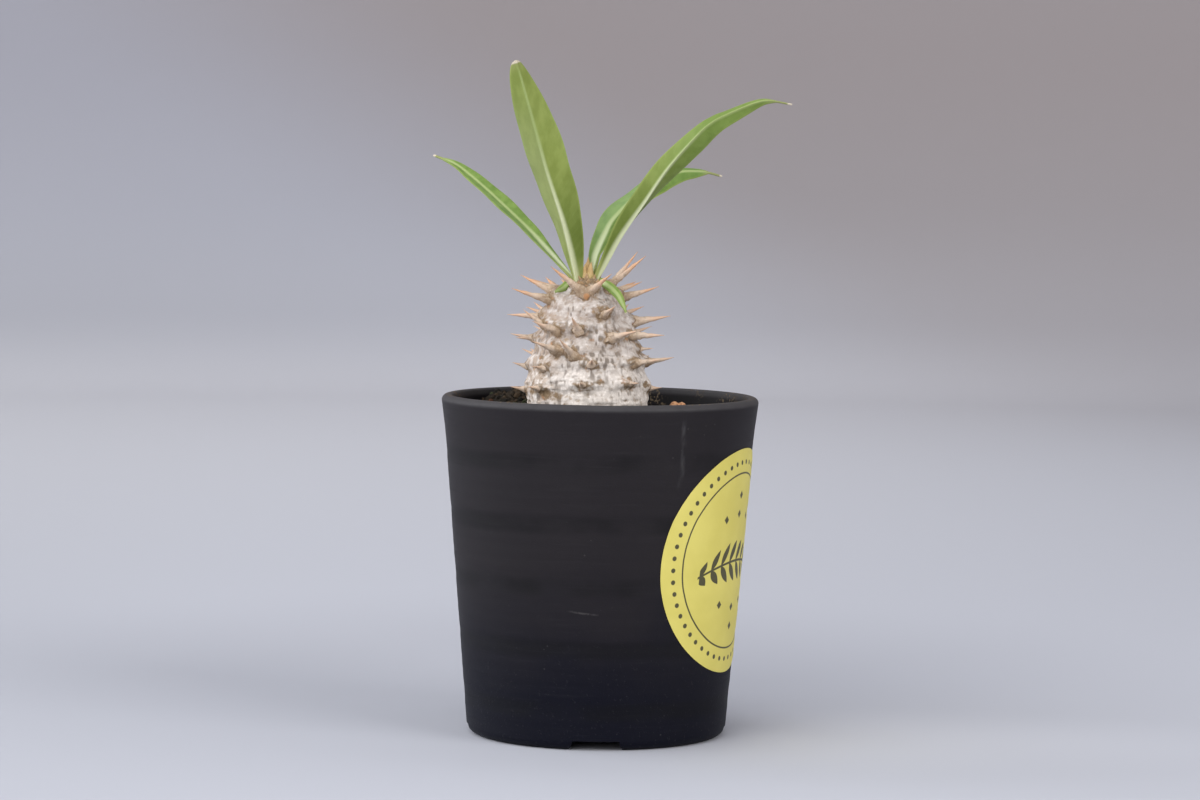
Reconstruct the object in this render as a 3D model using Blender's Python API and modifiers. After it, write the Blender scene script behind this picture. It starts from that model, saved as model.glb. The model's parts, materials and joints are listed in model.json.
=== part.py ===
"""A small thorny caudex plant in a tall round nursery pot.

Metres, +Z up, with the origin on the pot's axis at the level of its foot. The front is -Y, and an
azimuth is in degrees from the front, positive towards +X. Each piece is a closed solid of its own:
the pot, its round label, the soil, one loose granule, the trunk with its spines, and six leaves.
"""

import math

import bmesh
import bpy
import numpy as np
from mathutils import Matrix, Vector

MM = 0.001

# Fits between neighbours
GAP = 0.3 * MM
MERGE = 0.01 * MM

# Pot
POT_HEIGHT = 96.2 * MM
RIM_RADIUS = 45.0 * MM
BASE_RADIUS = 36.76 * MM
RIM_FLARE = 0.27 * MM
FLARE_HEIGHT = 10.0 * MM
LIP_WIDTH = 3.0 * MM
LIP_OUTER_ROUNDING = 1.6 * MM
LIP_INNER_ROUNDING = 0.8 * MM
WALL = 2.2 * MM
FLOOR_THICKNESS = 2.0 * MM
FLOOR_FILLET = 1.5 * MM
FOOT_ROUNDING = 3.0 * MM
FOOT_RECESS = 3.0 * MM
FOOT_INNER_RADIUS = 30.0 * MM
POT_STEPS = 80
FLOOR_TOP = FOOT_RECESS + FLOOR_THICKNESS
WALL_SLOPE = (RIM_RADIUS - RIM_FLARE - BASE_RADIUS) / POT_HEIGHT

# Drainage
NOTCH_WIDTH = 13.8 * MM
NOTCH_HEIGHT = 2.7 * MM
NOTCH_DEPTH = 12.0 * MM
NOTCH_COUNT = 4
DRAIN_RADIUS = 3.5 * MM
DRAIN_COUNT = 6
DRAIN_CIRCLE = 19.0 * MM
CENTRE_DRAIN_RADIUS = 5.0 * MM
DRAIN_SIDES = 24

# Label
LABEL_RADIUS = 31.8 * MM
LABEL_HEIGHT = 51.2 * MM
LABEL_AZIMUTH = 69.3
LABEL_THICKNESS = 0.4 * MM
LABEL_SIDES = 40
LABEL_RINGS = 4

# Soil, with a heap against the wall at the back left
SOIL_LEVEL = 87.9 * MM
HEAP_PLACE = (-22.0 * MM, 27.0 * MM)
HEAP_REACH = 17.0 * MM
HEAP_RISE = 6.7 * MM
SOIL_SIDES = 72
SOIL_RINGS = 10
LUMP_COUNT = 260
LUMP_RADIUS = (1.8 * MM, 3.4 * MM)
LUMP_HEIGHT = (0.4 * MM, 1.1 * MM)
SOIL_SEED = 3

# Loose granule
GRANULE_PLACE = (21.8 * MM, 4.0 * MM)
GRANULE_HALF_SIZE = (3.3 * MM, 3.0 * MM, 3.4 * MM)
GRANULE_SEAT_RADIUS = 5.0 * MM
GRANULE_ROUGHNESS = 0.09
GRANULE_SEED = 5

# Trunk: height and radius up its outline, and the height and sideways place of its leaning axis
TRUNK_PROFILE = (
    (65.7 * MM, 11.9 * MM),
    (71.7 * MM, 14.2 * MM),
    (83.5 * MM, 16.6 * MM),
    (91.4 * MM, 17.1 * MM),
    (97.3 * MM, 17.1 * MM),
    (103.3 * MM, 16.5 * MM),
    (108.9 * MM, 15.0 * MM),
    (114.6 * MM, 13.0 * MM),
    (120.3 * MM, 11.3 * MM),
    (124.3 * MM, 9.1 * MM),
    (127.0 * MM, 6.5 * MM),
    (129.0 * MM, 3.0 * MM),
)
TRUNK_TOP = 129.6 * MM
TRUNK_AXIS = (
    (65.7 * MM, -3.2 * MM),
    (96.3 * MM, -3.6 * MM),
    (120.1 * MM, -4.3 * MM),
    (129.9 * MM, -3.9 * MM),
)
TRUNK_SIDES = 48
BARK_FROM = 94.4 * MM
BARK_STEP = 1.3 * MM
BARK_GRAIN = 0.22 * MM
TUBERCLE_HEIGHT = 1.5 * MM
TUBERCLE_WIDTH = 3.4 * MM
TUBERCLE_RISE = 1.7 * MM
CROWN_START = 126.6 * MM
TRUNK_SEED = 11

# Spines: those that show from the front stand on areoles with an azimuth and a height, and each has
# a length, a rise above the horizontal and a swing sideways from straight out
SPINE_ROOT_RADIUS = 1.45 * MM
SPINE_TIP_RADIUS = 0.2 * MM
SPINE_ROOT_DEPTH = 2.4 * MM
SPINE_SIDES = 6
FULL_SPINE = 10.0 * MM
SHORT_SPINE_SHARE = 0.45
FRONT_AREOLES = (
    (-97, 125.6, ((10.6, 25, 0),)),
    (-76, 123.6, ((11.0, 15, -4),)),
    (-12, 126.3, ((11.4, 36, -55),)),
    (9, 126.4, ((9.0, 32, 36),)),
    (50, 127.2, ((13.4, 49, 16), (14.3, 39, 19))),
    (85, 124.4, ((10.3, 17, 0),)),
    (-62, 116.6, ((7.1, 35, -10),)),
    (-88, 118.4, ((9.0, 3, 0),)),
    (-38, 115.2, ((8.4, 18, -14),)),
    (-9, 115.5, ((6.4, 34, -11),)),
    (24, 119.9, ((6.0, 22, 6),)),
    (86, 117.3, ((10.3, 10, 0),)),
    (30, 113.2, ((8.9, 15, 24),)),
    (66, 113.9, ((8.7, 0, 12),)),
    (-90, 112.2, ((6.4, 11, 0), (5.2, 2, 24))),
    (-32, 109.8, ((8.6, 17, -22),)),
    (-14, 108.8, ((7.5, 35, -22),)),
    (76, 109.7, ((3.2, 5, 0),)),
    (54, 106.1, ((8.0, 9, 6),)),
    (84, 106.1, ((7.6, 10, 0),)),
    (-85, 104.4, ((3.6, 15, 0),)),
    (-46, 104.5, ((3.4, 10, -14), (3.2, 10, 14))),
    (4, 106.0, ((4.4, 20, 0),)),
    (-4, 100.3, ((3.2, 12, -8),)),
    (42, 100.5, ((3.0, 5, 10),)),
    (-50, 98.8, ((3.4, 8, 0),)),
    (-82, 97.9, ((3.6, 10, 0),)),
    (82, 98.6, ((2.8, 5, 0),)),
)
# Round the back the same rows go on by a rule: height, spine length and first azimuth of each row
BACK_ROWS = (
    (125.2, 11.0, 134),
    (118.3, 9.6, 141),
    (112.2, 8.4, 134),
    (105.6, 7.0, 141),
    (98.9, 3.6, 134),
)
BACK_AREOLES_PER_ROW = 4
BACK_SPACING = 30.0
BACK_SPLAY = 15.0
BACK_RISE = 18.0
BACK_JITTER = 5.0
HEIGHT_JITTER = 0.7

# Growing bud in the middle of the crown
BUD_ROOT = (-4.4 * MM, 0.3 * MM, 127.5 * MM)
BUD_TIP = (-3.8 * MM, -0.2 * MM, 134.6 * MM)
BUD_RADIUS = 1.5 * MM

# Leaves
BLADE_THICKNESS = 0.62 * MM
STALK_THICKNESS = 1.3 * MM
STALK_SHARE = 0.12
RIB_HALF_WIDTH = 0.6 * MM
RIB_HEIGHT = 0.45 * MM
STALK_HALF_WIDTH = 0.75 * MM
TIP_HALF_WIDTH = 0.35 * MM
LEAF_STATIONS = 22
SMALL_LEAF_STATIONS = 9
PATH_DENSITY = 16

# Each leaf: midrib points; half width, peak (above 1 puts the widest part past the middle), fullness
# (below 1 rounds the ends) and the share of the length where the blade ends in a narrow tip; how far
# the left and right halves turn away from the front at even steps from base to tip, in degrees
# (negative turns towards the front); and stations
LEAVES = {
    "leaf_left": (
        ((-6.4, 0.9, 127.4), (-10.2, 1.5, 131.4), (-15.7, 6.4, 137.1), (-21.6, 12.4, 143.1),
         (-29.2, 20.3, 149.9), (-33.8, 24.7, 153.9), (-38.5, 29.2, 157.7), (-43.3, 33.1, 161.1),
         (-49.7, 37.6, 163.6)),
        (3.36, 1.15, 0.8, 0.97), (-56, -66, -50), (46, 38, 36), LEAF_STATIONS),
    "leaf_tall": (
        ((-5.7, -2.2, 126.0), (-7.0, -3.0, 128.6), (-7.6, -3.5, 131.6), (-11.0, -6.1, 145.3),
         (-15.5, -8.6, 159.0), (-18.5, -10.5, 169.4), (-22.9, -13.0, 184.3), (-24.8, -13.8, 190.4)),
        (6.74, 1.2, 0.42, 1.0), (68, 53, 30), (45, 8, 58), LEAF_STATIONS),
    "leaf_right_front": (
        ((-3.0, -1.3, 126.8), (-0.5, -2.0, 130.9), (2.1, -4.0, 135.7), (5.8, -7.1, 142.5),
         (11.3, -11.6, 150.8), (18.0, -16.6, 160.8), (25.9, -22.5, 169.9), (29.6, -25.1, 173.3),
         (33.4, -27.7, 175.5), (41.8, -33.0, 179.2), (45.9, -35.2, 179.7), (51.2, -37.6, 178.8)),
        (4.6, 0.98, 0.85, 0.96), (0, 5, 42, 67, 55), (88, 88, 43, 10, 40), LEAF_STATIONS),
    "leaf_right_back": (
        ((-3.2, 1.6, 126.8), (-2.1, 2.4, 133.8), (-1.4, 4.0, 136.7), (0.8, 6.9, 141.8),
         (3.5, 10.3, 146.6), (10.7, 15.8, 153.8), (16.4, 20.8, 157.7), (22.3, 24.7, 159.7),
         (26.6, 27.2, 160.0), (30.2, 28.9, 159.8), (34.6, 30.6, 158.7)),
        (4.5, 1.18, 0.7, 0.94), (42, 20, 58, 72, 70), (-62, -52, -30, -5, -10), LEAF_STATIONS),
    "leaf_small_right": (
        ((-1.4, -3.6, 126.5), (-0.2, -4.9, 128.8), (0.9, -7.4, 128.2), (2.9, -9.7, 126.9),
         (4.9, -11.5, 124.8), (6.1, -12.3, 122.4), (7.0, -12.7, 120.2)),
        (1.4, 1.0, 0.7, 1.0), (20, 20), (20, 20), SMALL_LEAF_STATIONS),
    "leaf_small_left": (
        ((-6.4, -2.6, 126.6), (-9.2, -4.5, 127.9), (-10.9, -5.9, 126.8), (-13.3, -7.1, 125.6)),
        (1.2, 1.0, 0.7, 1.0), (20, 20), (20, 20), SMALL_LEAF_STATIONS),
}

# Colours, each with its roughness
FINISHES = {
    "black_plastic": ((0.022, 0.022, 0.025), 0.55),
    "yellow_label": ((0.70, 0.62, 0.14), 0.5),
    "potting_soil": ((0.045, 0.033, 0.024), 0.95),
    "clay_granule": ((0.42, 0.20, 0.09), 0.9),
    "pale_bark": ((0.50, 0.45, 0.39), 0.85),
    "green_leaf": ((0.20, 0.30, 0.07), 0.5),
}


def clear_scene():
    """Remove the objects that the scene starts with."""
    for leftover in list(bpy.data.objects):
        bpy.data.objects.remove(leftover)


def new_collection(name):
    collection = bpy.data.collections.new(name)
    bpy.context.scene.collection.children.link(collection)
    return collection


def finish(name):
    """Principled material of a named finish, made once."""
    if name in bpy.data.materials:
        return bpy.data.materials[name]
    colour, roughness = FINISHES[name]
    material = bpy.data.materials.new(name)
    material.use_nodes = True
    shader = material.node_tree.nodes["Principled BSDF"]
    shader.inputs["Base Color"].default_value = (*colour, 1.0)
    shader.inputs["Roughness"].default_value = roughness
    shader.inputs["Metallic"].default_value = 0.0
    return material


def add_piece(name, mesh, collection, finish_name=None):
    piece = bpy.data.objects.new(name, mesh)
    collection.objects.link(piece)
    if finish_name:
        mesh.materials.append(finish(finish_name))
    else:
        piece.hide_render = True
        piece.display_type = "WIRE"
    return piece


def apply_modifiers(piece):
    """Replace a piece's mesh with its evaluated one."""
    graph = bpy.context.evaluated_depsgraph_get()
    mesh = bpy.data.meshes.new_from_object(piece.evaluated_get(graph))
    piece.modifiers.clear()
    piece.data = mesh


def boolean(piece, operation, collection):
    """Cut or join everything in a collection."""
    modifier = piece.modifiers.new(operation.lower(), "BOOLEAN")
    modifier.operation = operation
    modifier.operand_type = "COLLECTION"
    modifier.collection = collection
    modifier.solver = "EXACT"


def remove_all(collection):
    for tool in list(collection.objects):
        bpy.data.objects.remove(tool)


def arc(centre_radius, centre_height, radius, start, end, count):
    """Points of a circular arc in the profile plane, from one angle to another in degrees."""
    angles = np.radians(np.linspace(start, end, count))
    return [(centre_radius + radius * math.cos(a), centre_height + radius * math.sin(a)) for a in angles]


def turned(name, profile, steps, collection, finish_name):
    """Solid of revolution: a (radius, height) profile carried round Z."""
    mesh = bpy.data.meshes.new(name)
    points = [(radius, 0.0, height) for radius, height in profile]
    edges = [(i, i + 1) for i in range(len(points) - 1)]
    mesh.from_pydata(points, edges, [])
    piece = add_piece(name, mesh, collection, finish_name)
    screw = piece.modifiers.new("turn", "SCREW")
    screw.axis = "Z"
    screw.steps = steps
    screw.render_steps = steps
    screw.use_merge_vertices = True
    screw.merge_threshold = MERGE
    return piece


def curve_through(points, per_span):
    """Smooth curve through the points, a Catmull-Rom spline with end points doubled."""
    points = np.array(points, dtype=float)
    padded = np.vstack([2 * points[0] - points[1], points, 2 * points[-1] - points[-2]])
    step = np.linspace(0.0, 1.0, per_span, endpoint=False)[:, None]
    spans = []
    for before, start, end, after in zip(padded, padded[1:], padded[2:], padded[3:]):
        slope_in = (end - before) / 2
        slope_out = (after - start) / 2
        rise = 3 * (end - start) - 2 * slope_in - slope_out
        fall = 2 * (start - end) + slope_in + slope_out
        spans.append(start + slope_in * step + rise * step**2 + fall * step**3)
    return np.vstack(spans + [points[-1:]])


def skin(rings, start=None, end=None, mirrored=()):
    """Triangles over a stack of rings with the same number of points.

    The rings run from the start pole to the end pole. A band of columns in mirrored is split along
    the other diagonal. Where a pole is missing, that end stays open.
    """
    levels, around = rings.shape[:2]
    points = [tuple(p) for p in rings.reshape(-1, 3)]
    faces = []
    for level in range(levels - 1):
        for column in range(around):
            low_a = level * around + column
            low_b = level * around + (column + 1) % around
            high_a = low_a + around
            high_b = low_b + around
            if column in mirrored:
                faces += [(low_a, low_b, high_a), (low_b, high_b, high_a)]
            else:
                faces += [(low_a, low_b, high_b), (low_a, high_b, high_a)]
    for pole, first in ((start, 0), (end, (levels - 1) * around)):
        if pole is None:
            continue
        points.append(tuple(pole))
        tip = len(points) - 1
        faces += [(tip, first + column, first + (column + 1) % around) for column in range(around)]
    mesh = bpy.data.meshes.new("skin")
    mesh.from_pydata(points, [], faces)
    shape = bmesh.new()
    shape.from_mesh(mesh)
    bmesh.ops.recalc_face_normals(shape, faces=shape.faces)
    shape.to_mesh(mesh)
    shape.free()
    return mesh


def circle(centre_x, radius, heights, sides):
    """Level ring round a vertical line at centre_x, from the front and towards +X."""
    angles = np.arange(sides) * math.tau / sides
    x = centre_x + radius * np.sin(angles)
    y = -radius * np.cos(angles)
    return np.stack([x, y, np.broadcast_to(heights, x.shape)], axis=-1)


def smooth(piece):
    piece.data.shade_smooth()
    piece.data.set_sharp_from_angle(angle=math.radians(40))


def wall_radius(height):
    """Outer radius of the pot's straight wall at a height."""
    return BASE_RADIUS + WALL_SLOPE * height


def bore_radius(height):
    """Inner radius of the pot at a height, where the wall thickens from floor to lip."""
    ends = (wall_radius(FLOOR_TOP) - WALL, RIM_RADIUS - LIP_WIDTH)
    return np.interp(height, (FLOOR_TOP, POT_HEIGHT), ends)


def make_pot(collection, cutters):
    """Turned wall, lip, floor and foot ring, with drain holes and notches cut through."""
    fillet_height = FLOOR_TOP + FLOOR_FILLET
    lip_height = POT_HEIGHT - LIP_OUTER_ROUNDING
    bore_lip = RIM_RADIUS - LIP_WIDTH + LIP_INNER_ROUNDING
    profile = [(0.0, FLOOR_TOP), (bore_radius(FLOOR_TOP) - FLOOR_FILLET, FLOOR_TOP)]
    profile.append((bore_radius(fillet_height), fillet_height))
    profile += arc(bore_lip, POT_HEIGHT - LIP_INNER_ROUNDING, LIP_INNER_ROUNDING, 180, 90, 3)
    profile += arc(RIM_RADIUS - LIP_OUTER_ROUNDING, lip_height, LIP_OUTER_ROUNDING, 90, 0, 4)
    profile.append((wall_radius(POT_HEIGHT - FLARE_HEIGHT), POT_HEIGHT - FLARE_HEIGHT))
    profile += arc(wall_radius(FOOT_ROUNDING) - FOOT_ROUNDING, FOOT_ROUNDING, FOOT_ROUNDING, 0, -90, 4)
    profile += [(FOOT_INNER_RADIUS, 0.0), (FOOT_INNER_RADIUS, FOOT_RECESS), (0.0, FOOT_RECESS)]
    pot = turned("pot", profile, POT_STEPS, collection, "black_plastic")

    for turn in range(NOTCH_COUNT):
        angle = math.tau * turn / NOTCH_COUNT
        mesh = bpy.data.meshes.new("notch")
        block = bmesh.new()
        bmesh.ops.create_cube(block, size=1.0)
        bmesh.ops.scale(block, vec=(NOTCH_WIDTH, NOTCH_DEPTH, 2 * NOTCH_HEIGHT), verts=block.verts)
        block.to_mesh(mesh)
        block.free()
        notch = add_piece(f"notch_{turn}", mesh, cutters)
        reach = wall_radius(0.0) - NOTCH_DEPTH / 3
        notch.location = (reach * math.sin(angle), -reach * math.cos(angle), 0.0)
        notch.rotation_euler = (0.0, 0.0, angle)

    drains = [(0.0, 0.0, CENTRE_DRAIN_RADIUS)]
    for turn in range(DRAIN_COUNT):
        angle = math.tau * (turn + 0.5) / DRAIN_COUNT
        drains.append((DRAIN_CIRCLE * math.sin(angle), DRAIN_CIRCLE * math.cos(angle), DRAIN_RADIUS))
    for number, (x, y, radius) in enumerate(drains):
        mesh = bpy.data.meshes.new("drain")
        rod = bmesh.new()
        bmesh.ops.create_cone(
            rod, cap_ends=True, segments=DRAIN_SIDES, radius1=radius, radius2=radius,
            depth=4 * FLOOR_THICKNESS)
        rod.to_mesh(mesh)
        rod.free()
        drain = add_piece(f"drain_{number}", mesh, cutters)
        drain.location = (x, y, FOOT_RECESS + FLOOR_THICKNESS / 2)

    boolean(pot, "DIFFERENCE", cutters)
    apply_modifiers(pot)
    smooth(pot)
    return pot


def wrapped(along, up):
    """Place on the wall of a point of the flat label, given by its distances from the label's centre.

    The wall unrolls to a flat sector, where the distance from the cone's apex and the angle round it
    give the point's height and its turn round the pot.
    """
    half_angle = math.atan(WALL_SLOPE)
    start = wall_radius(LABEL_HEIGHT) / math.sin(half_angle)
    from_apex = np.hypot(start + up, along)
    turn = math.radians(LABEL_AZIMUTH) + np.arctan2(along, start + up) / math.sin(half_angle)
    height = LABEL_HEIGHT + (from_apex - start) * math.cos(half_angle)
    reach = wall_radius(height) + GAP
    return np.stack([reach * np.sin(turn), -reach * np.cos(turn), height], axis=-1)


def make_label(collection):
    """Thin flat disc wrapped round the conical wall, the way paper wraps, without stretching."""
    angles = np.arange(LABEL_SIDES) * math.tau / LABEL_SIDES
    radii = LABEL_RADIUS * np.arange(1, LABEL_RINGS + 1)[:, None] / LABEL_RINGS
    rings = wrapped(radii * np.cos(angles), radii * np.sin(angles))
    centre = wrapped(0.0, 0.0)
    mesh = skin(rings, start=centre)
    outward = Vector(centre).dot(mesh.polygons[0].normal)
    if outward < 0:
        mesh.flip_normals()
    label = add_piece("label", mesh, collection, "yellow_label")
    wall = label.modifiers.new("thickness", "SOLIDIFY")
    wall.thickness = LABEL_THICKNESS
    wall.offset = 1.0
    return label


def trunk_axis(height):
    """Sideways place of the trunk's leaning axis at a height."""
    heights, places = zip(*TRUNK_AXIS)
    return np.interp(height, heights, places)


def trunk_radius(height):
    """Plain radius of the trunk at a height, without tubercles."""
    outline = curve_through(TRUNK_PROFILE, PATH_DENSITY)
    return np.interp(height, outline[:, 0], outline[:, 1])


def areoles(rng):
    """Every areole as (azimuth, height, spines), those at the front and then the rows round the back."""
    places = list(FRONT_AREOLES)
    for height, length, first in BACK_ROWS:
        for number in range(BACK_AREOLES_PER_ROW):
            azimuth = first + number * BACK_SPACING + rng.uniform(-BACK_JITTER, BACK_JITTER)
            lift = rng.uniform(-HEIGHT_JITTER, HEIGHT_JITTER)
            pair = []
            for side in (-1, 1):
                rise = BACK_RISE + rng.uniform(-BACK_JITTER, BACK_JITTER)
                pair.append((length * rng.uniform(0.85, 1.05), rise, side * BACK_SPLAY))
            places.append((azimuth, height + lift, tuple(pair)))
    return places


def tubercles(azimuth, height, places):
    """How far the tubercles raise the bark: the highest of the rounded ledges that reach the point."""
    relief = np.zeros_like(azimuth)
    for centre, level, _ in places:
        turn = (azimuth - math.radians(centre) + math.pi) % math.tau - math.pi
        across = turn * trunk_radius(height) / TUBERCLE_WIDTH
        above = (height - level * MM) / TUBERCLE_RISE
        relief = np.maximum(relief, TUBERCLE_HEIGHT * np.exp(-(across**2) - above**2))
    return relief


def make_trunk(collection, spines):
    """Swollen stem and root stump with tubercles raised by a formula, joined with its spines."""
    rng = np.random.default_rng(TRUNK_SEED)
    places = areoles(rng)
    stump = [height for height, _ in TRUNK_PROFILE if height < BARK_FROM]
    crown = [height for height, _ in TRUNK_PROFILE if height > CROWN_START]
    levels = np.concatenate([stump, np.arange(BARK_FROM, CROWN_START, BARK_STEP), crown])
    height, azimuth = np.meshgrid(levels, np.arange(TRUNK_SIDES) * math.tau / TRUNK_SIDES, indexing="ij")
    grain = rng.uniform(-BARK_GRAIN, BARK_GRAIN, height.shape)
    bark = (height > BARK_FROM) & (height < CROWN_START)
    radius = trunk_radius(height) + np.where(bark, tubercles(azimuth, height, places) + grain, 0.0)
    x = trunk_axis(height) + radius * np.sin(azimuth)
    rings = np.stack([x, -radius * np.cos(azimuth), height], axis=-1)
    bottom = (trunk_axis(levels[0]), 0.0, levels[0])
    top = (trunk_axis(TRUNK_TOP), 0.0, TRUNK_TOP)
    trunk = add_piece("trunk", skin(rings, bottom, top), collection, "pale_bark")

    for azimuth, level, group in places:
        for length, rise, swing in group:
            add_spine(spines, azimuth, level * MM, length * MM, rise, azimuth + swing)
    add_cone(spines, Vector(BUD_ROOT), Vector(BUD_TIP), BUD_RADIUS, SPINE_TIP_RADIUS)
    boolean(trunk, "UNION", spines)
    apply_modifiers(trunk)
    remove_all(spines)
    smooth(trunk)
    return trunk


def add_spine(spines, azimuth, height, length, rise, heading):
    """Cone from inside the bark, outwards at a heading and a rise."""
    around = math.radians(azimuth)
    reach = float(trunk_radius(height)) + TUBERCLE_HEIGHT
    foot = Vector((float(trunk_axis(height)) + reach * math.sin(around), -reach * math.cos(around), height))
    aim = math.radians(heading)
    climb = math.radians(rise)
    way = Vector((math.cos(climb) * math.sin(aim), -math.cos(climb) * math.cos(aim), math.sin(climb)))
    fullness = min(1.0, length / FULL_SPINE)
    root_radius = SPINE_ROOT_RADIUS * (SHORT_SPINE_SHARE + (1 - SHORT_SPINE_SHARE) * fullness)
    add_cone(spines, foot - way * SPINE_ROOT_DEPTH, foot + way * length, root_radius, SPINE_TIP_RADIUS)


def add_cone(collection, root, tip, root_radius, tip_radius):
    mesh = bpy.data.meshes.new("cone")
    way = tip - root
    shape = bmesh.new()
    bmesh.ops.create_cone(
        shape, cap_ends=True, segments=SPINE_SIDES, radius1=root_radius, radius2=tip_radius, depth=way.length)
    place = Matrix.Translation((root + tip) / 2) @ way.to_track_quat("Z", "Y").to_matrix().to_4x4()
    bmesh.ops.transform(shape, matrix=place, verts=shape.verts)
    shape.to_mesh(mesh)
    shape.free()
    return add_piece("cone", mesh, collection)


def make_crown_cutter(cutters):
    """The crown's plain dome grown by the gap, which trims the leaf bases to it."""
    levels = np.array([height for height, _ in TRUNK_PROFILE if height > SOIL_LEVEL] + [TRUNK_TOP])
    levels = np.sort(np.concatenate([levels, (levels[:-1] + levels[1:]) / 2]))
    radius = np.where(levels < TRUNK_TOP, trunk_radius(levels), 0.0)
    slope_out, slope_up = np.gradient(radius), np.gradient(levels)
    size = np.hypot(slope_out, slope_up)
    grown = radius + GAP * slope_up / size
    lifted = levels - GAP * slope_out / size
    rings = [circle(trunk_axis(h), r, h, TRUNK_SIDES) for h, r in zip(lifted[:-1], grown[:-1])]
    top = (trunk_axis(TRUNK_TOP), 0.0, TRUNK_TOP + GAP)
    bottom = (trunk_axis(lifted[0]), 0.0, lifted[0])
    return add_piece("crown_cutter", skin(np.array(rings), bottom, top), cutters)


def blade_half_width(share, widest, peak, fullness, blade_end):
    """Half width along a leaf, from its narrow stalk to its tip."""
    along = np.minimum(share / blade_end, 1.0)
    blade = widest * MM * np.abs(np.sin(math.pi * along**peak)) ** fullness
    least = np.interp(share, (0.0, 1.0), (STALK_HALF_WIDTH, TIP_HALF_WIDTH))
    return np.maximum(blade, least)


def make_leaf(name, collection, cutters):
    """Blade lofted along its midrib, with each half turned about the midrib and a rib underneath."""
    points, outline, left_turns, right_turns, stations = LEAVES[name]
    dense = curve_through(np.array(points) * MM, PATH_DENSITY)
    lengths = np.concatenate([[0.0], np.cumsum(np.linalg.norm(np.diff(dense, axis=0), axis=1))])
    share = np.linspace(0.0, 1.0, stations)
    path = np.stack([np.interp(share * lengths[-1], lengths, dense[:, axis]) for axis in range(3)], axis=-1)
    forward = np.gradient(path, axis=0)
    forward /= np.linalg.norm(forward, axis=1, keepdims=True)

    across = np.stack([forward[:, 2], np.zeros(stations), -forward[:, 0]], axis=-1)
    across /= np.linalg.norm(across, axis=1, keepdims=True)
    away = np.array([0.0, 1.0, 0.0]) - forward * forward[:, 1:2]
    away /= np.linalg.norm(away, axis=1, keepdims=True)
    halves = []
    for sign, turns in ((-1, left_turns), (1, right_turns)):
        knots = curve_through(np.column_stack([np.linspace(0.0, 1.0, len(turns)), turns]), PATH_DENSITY)
        angle = np.radians(np.interp(share, knots[:, 0], knots[:, 1]))[:, None]
        halves.append(sign * np.cos(angle) * across + np.sin(angle) * away)
    left, right = halves
    width_way = right - left
    width_way /= np.linalg.norm(width_way, axis=1, keepdims=True)
    upper = np.cross(forward, width_way)
    upper *= np.sign(np.sum(upper * (left + right)))

    half = blade_half_width(share, *outline)[:, None]
    thick = np.interp(share, (0.0, STALK_SHARE), (STALK_THICKNESS, BLADE_THICKNESS))[:, None] / 2
    rib_half = np.minimum(RIB_HALF_WIDTH, half / 2)
    rib = RIB_HEIGHT * np.minimum(1.0, half / (3 * RIB_HALF_WIDTH))
    section = [
        path + half * left + thick * upper,
        path + half / 2 * left + thick * upper,
        path + thick * upper,
        path + half / 2 * right + thick * upper,
        path + half * right + thick * upper,
        path + half * right - thick * upper,
        path + rib_half * right - thick * upper,
        path - (thick + rib) * upper,
        path + rib_half * left - thick * upper,
        path + half * left - thick * upper,
    ]
    rings = np.stack(section, axis=1)
    mesh = skin(rings, rings[0].mean(axis=0), rings[-1].mean(axis=0), mirrored=range(5, 9))
    leaf = add_piece(name, mesh, collection, "green_leaf")
    boolean(leaf, "DIFFERENCE", cutters)
    apply_modifiers(leaf)
    smooth(leaf)
    return leaf


def soil_height(x, y, lumps):
    """Height of the soil: level, with a heap and rounded lumps, smooth where the loose granule sits."""
    from_heap = np.hypot(x - HEAP_PLACE[0], y - HEAP_PLACE[1]) / HEAP_REACH
    plain = SOIL_LEVEL + HEAP_RISE * np.exp(-(from_heap**4))
    relief = np.zeros_like(x)
    for centre_x, centre_y, radius, rise in lumps:
        near = 1.0 - ((x - centre_x) ** 2 + (y - centre_y) ** 2) / radius**2
        relief = np.maximum(relief, rise * np.sqrt(np.maximum(near, 0.0)))
    seat = np.hypot(x - GRANULE_PLACE[0], y - GRANULE_PLACE[1]) / GRANULE_SEAT_RADIUS
    return plain + relief * np.clip(seat - 0.8, 0.0, 1.0)


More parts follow.
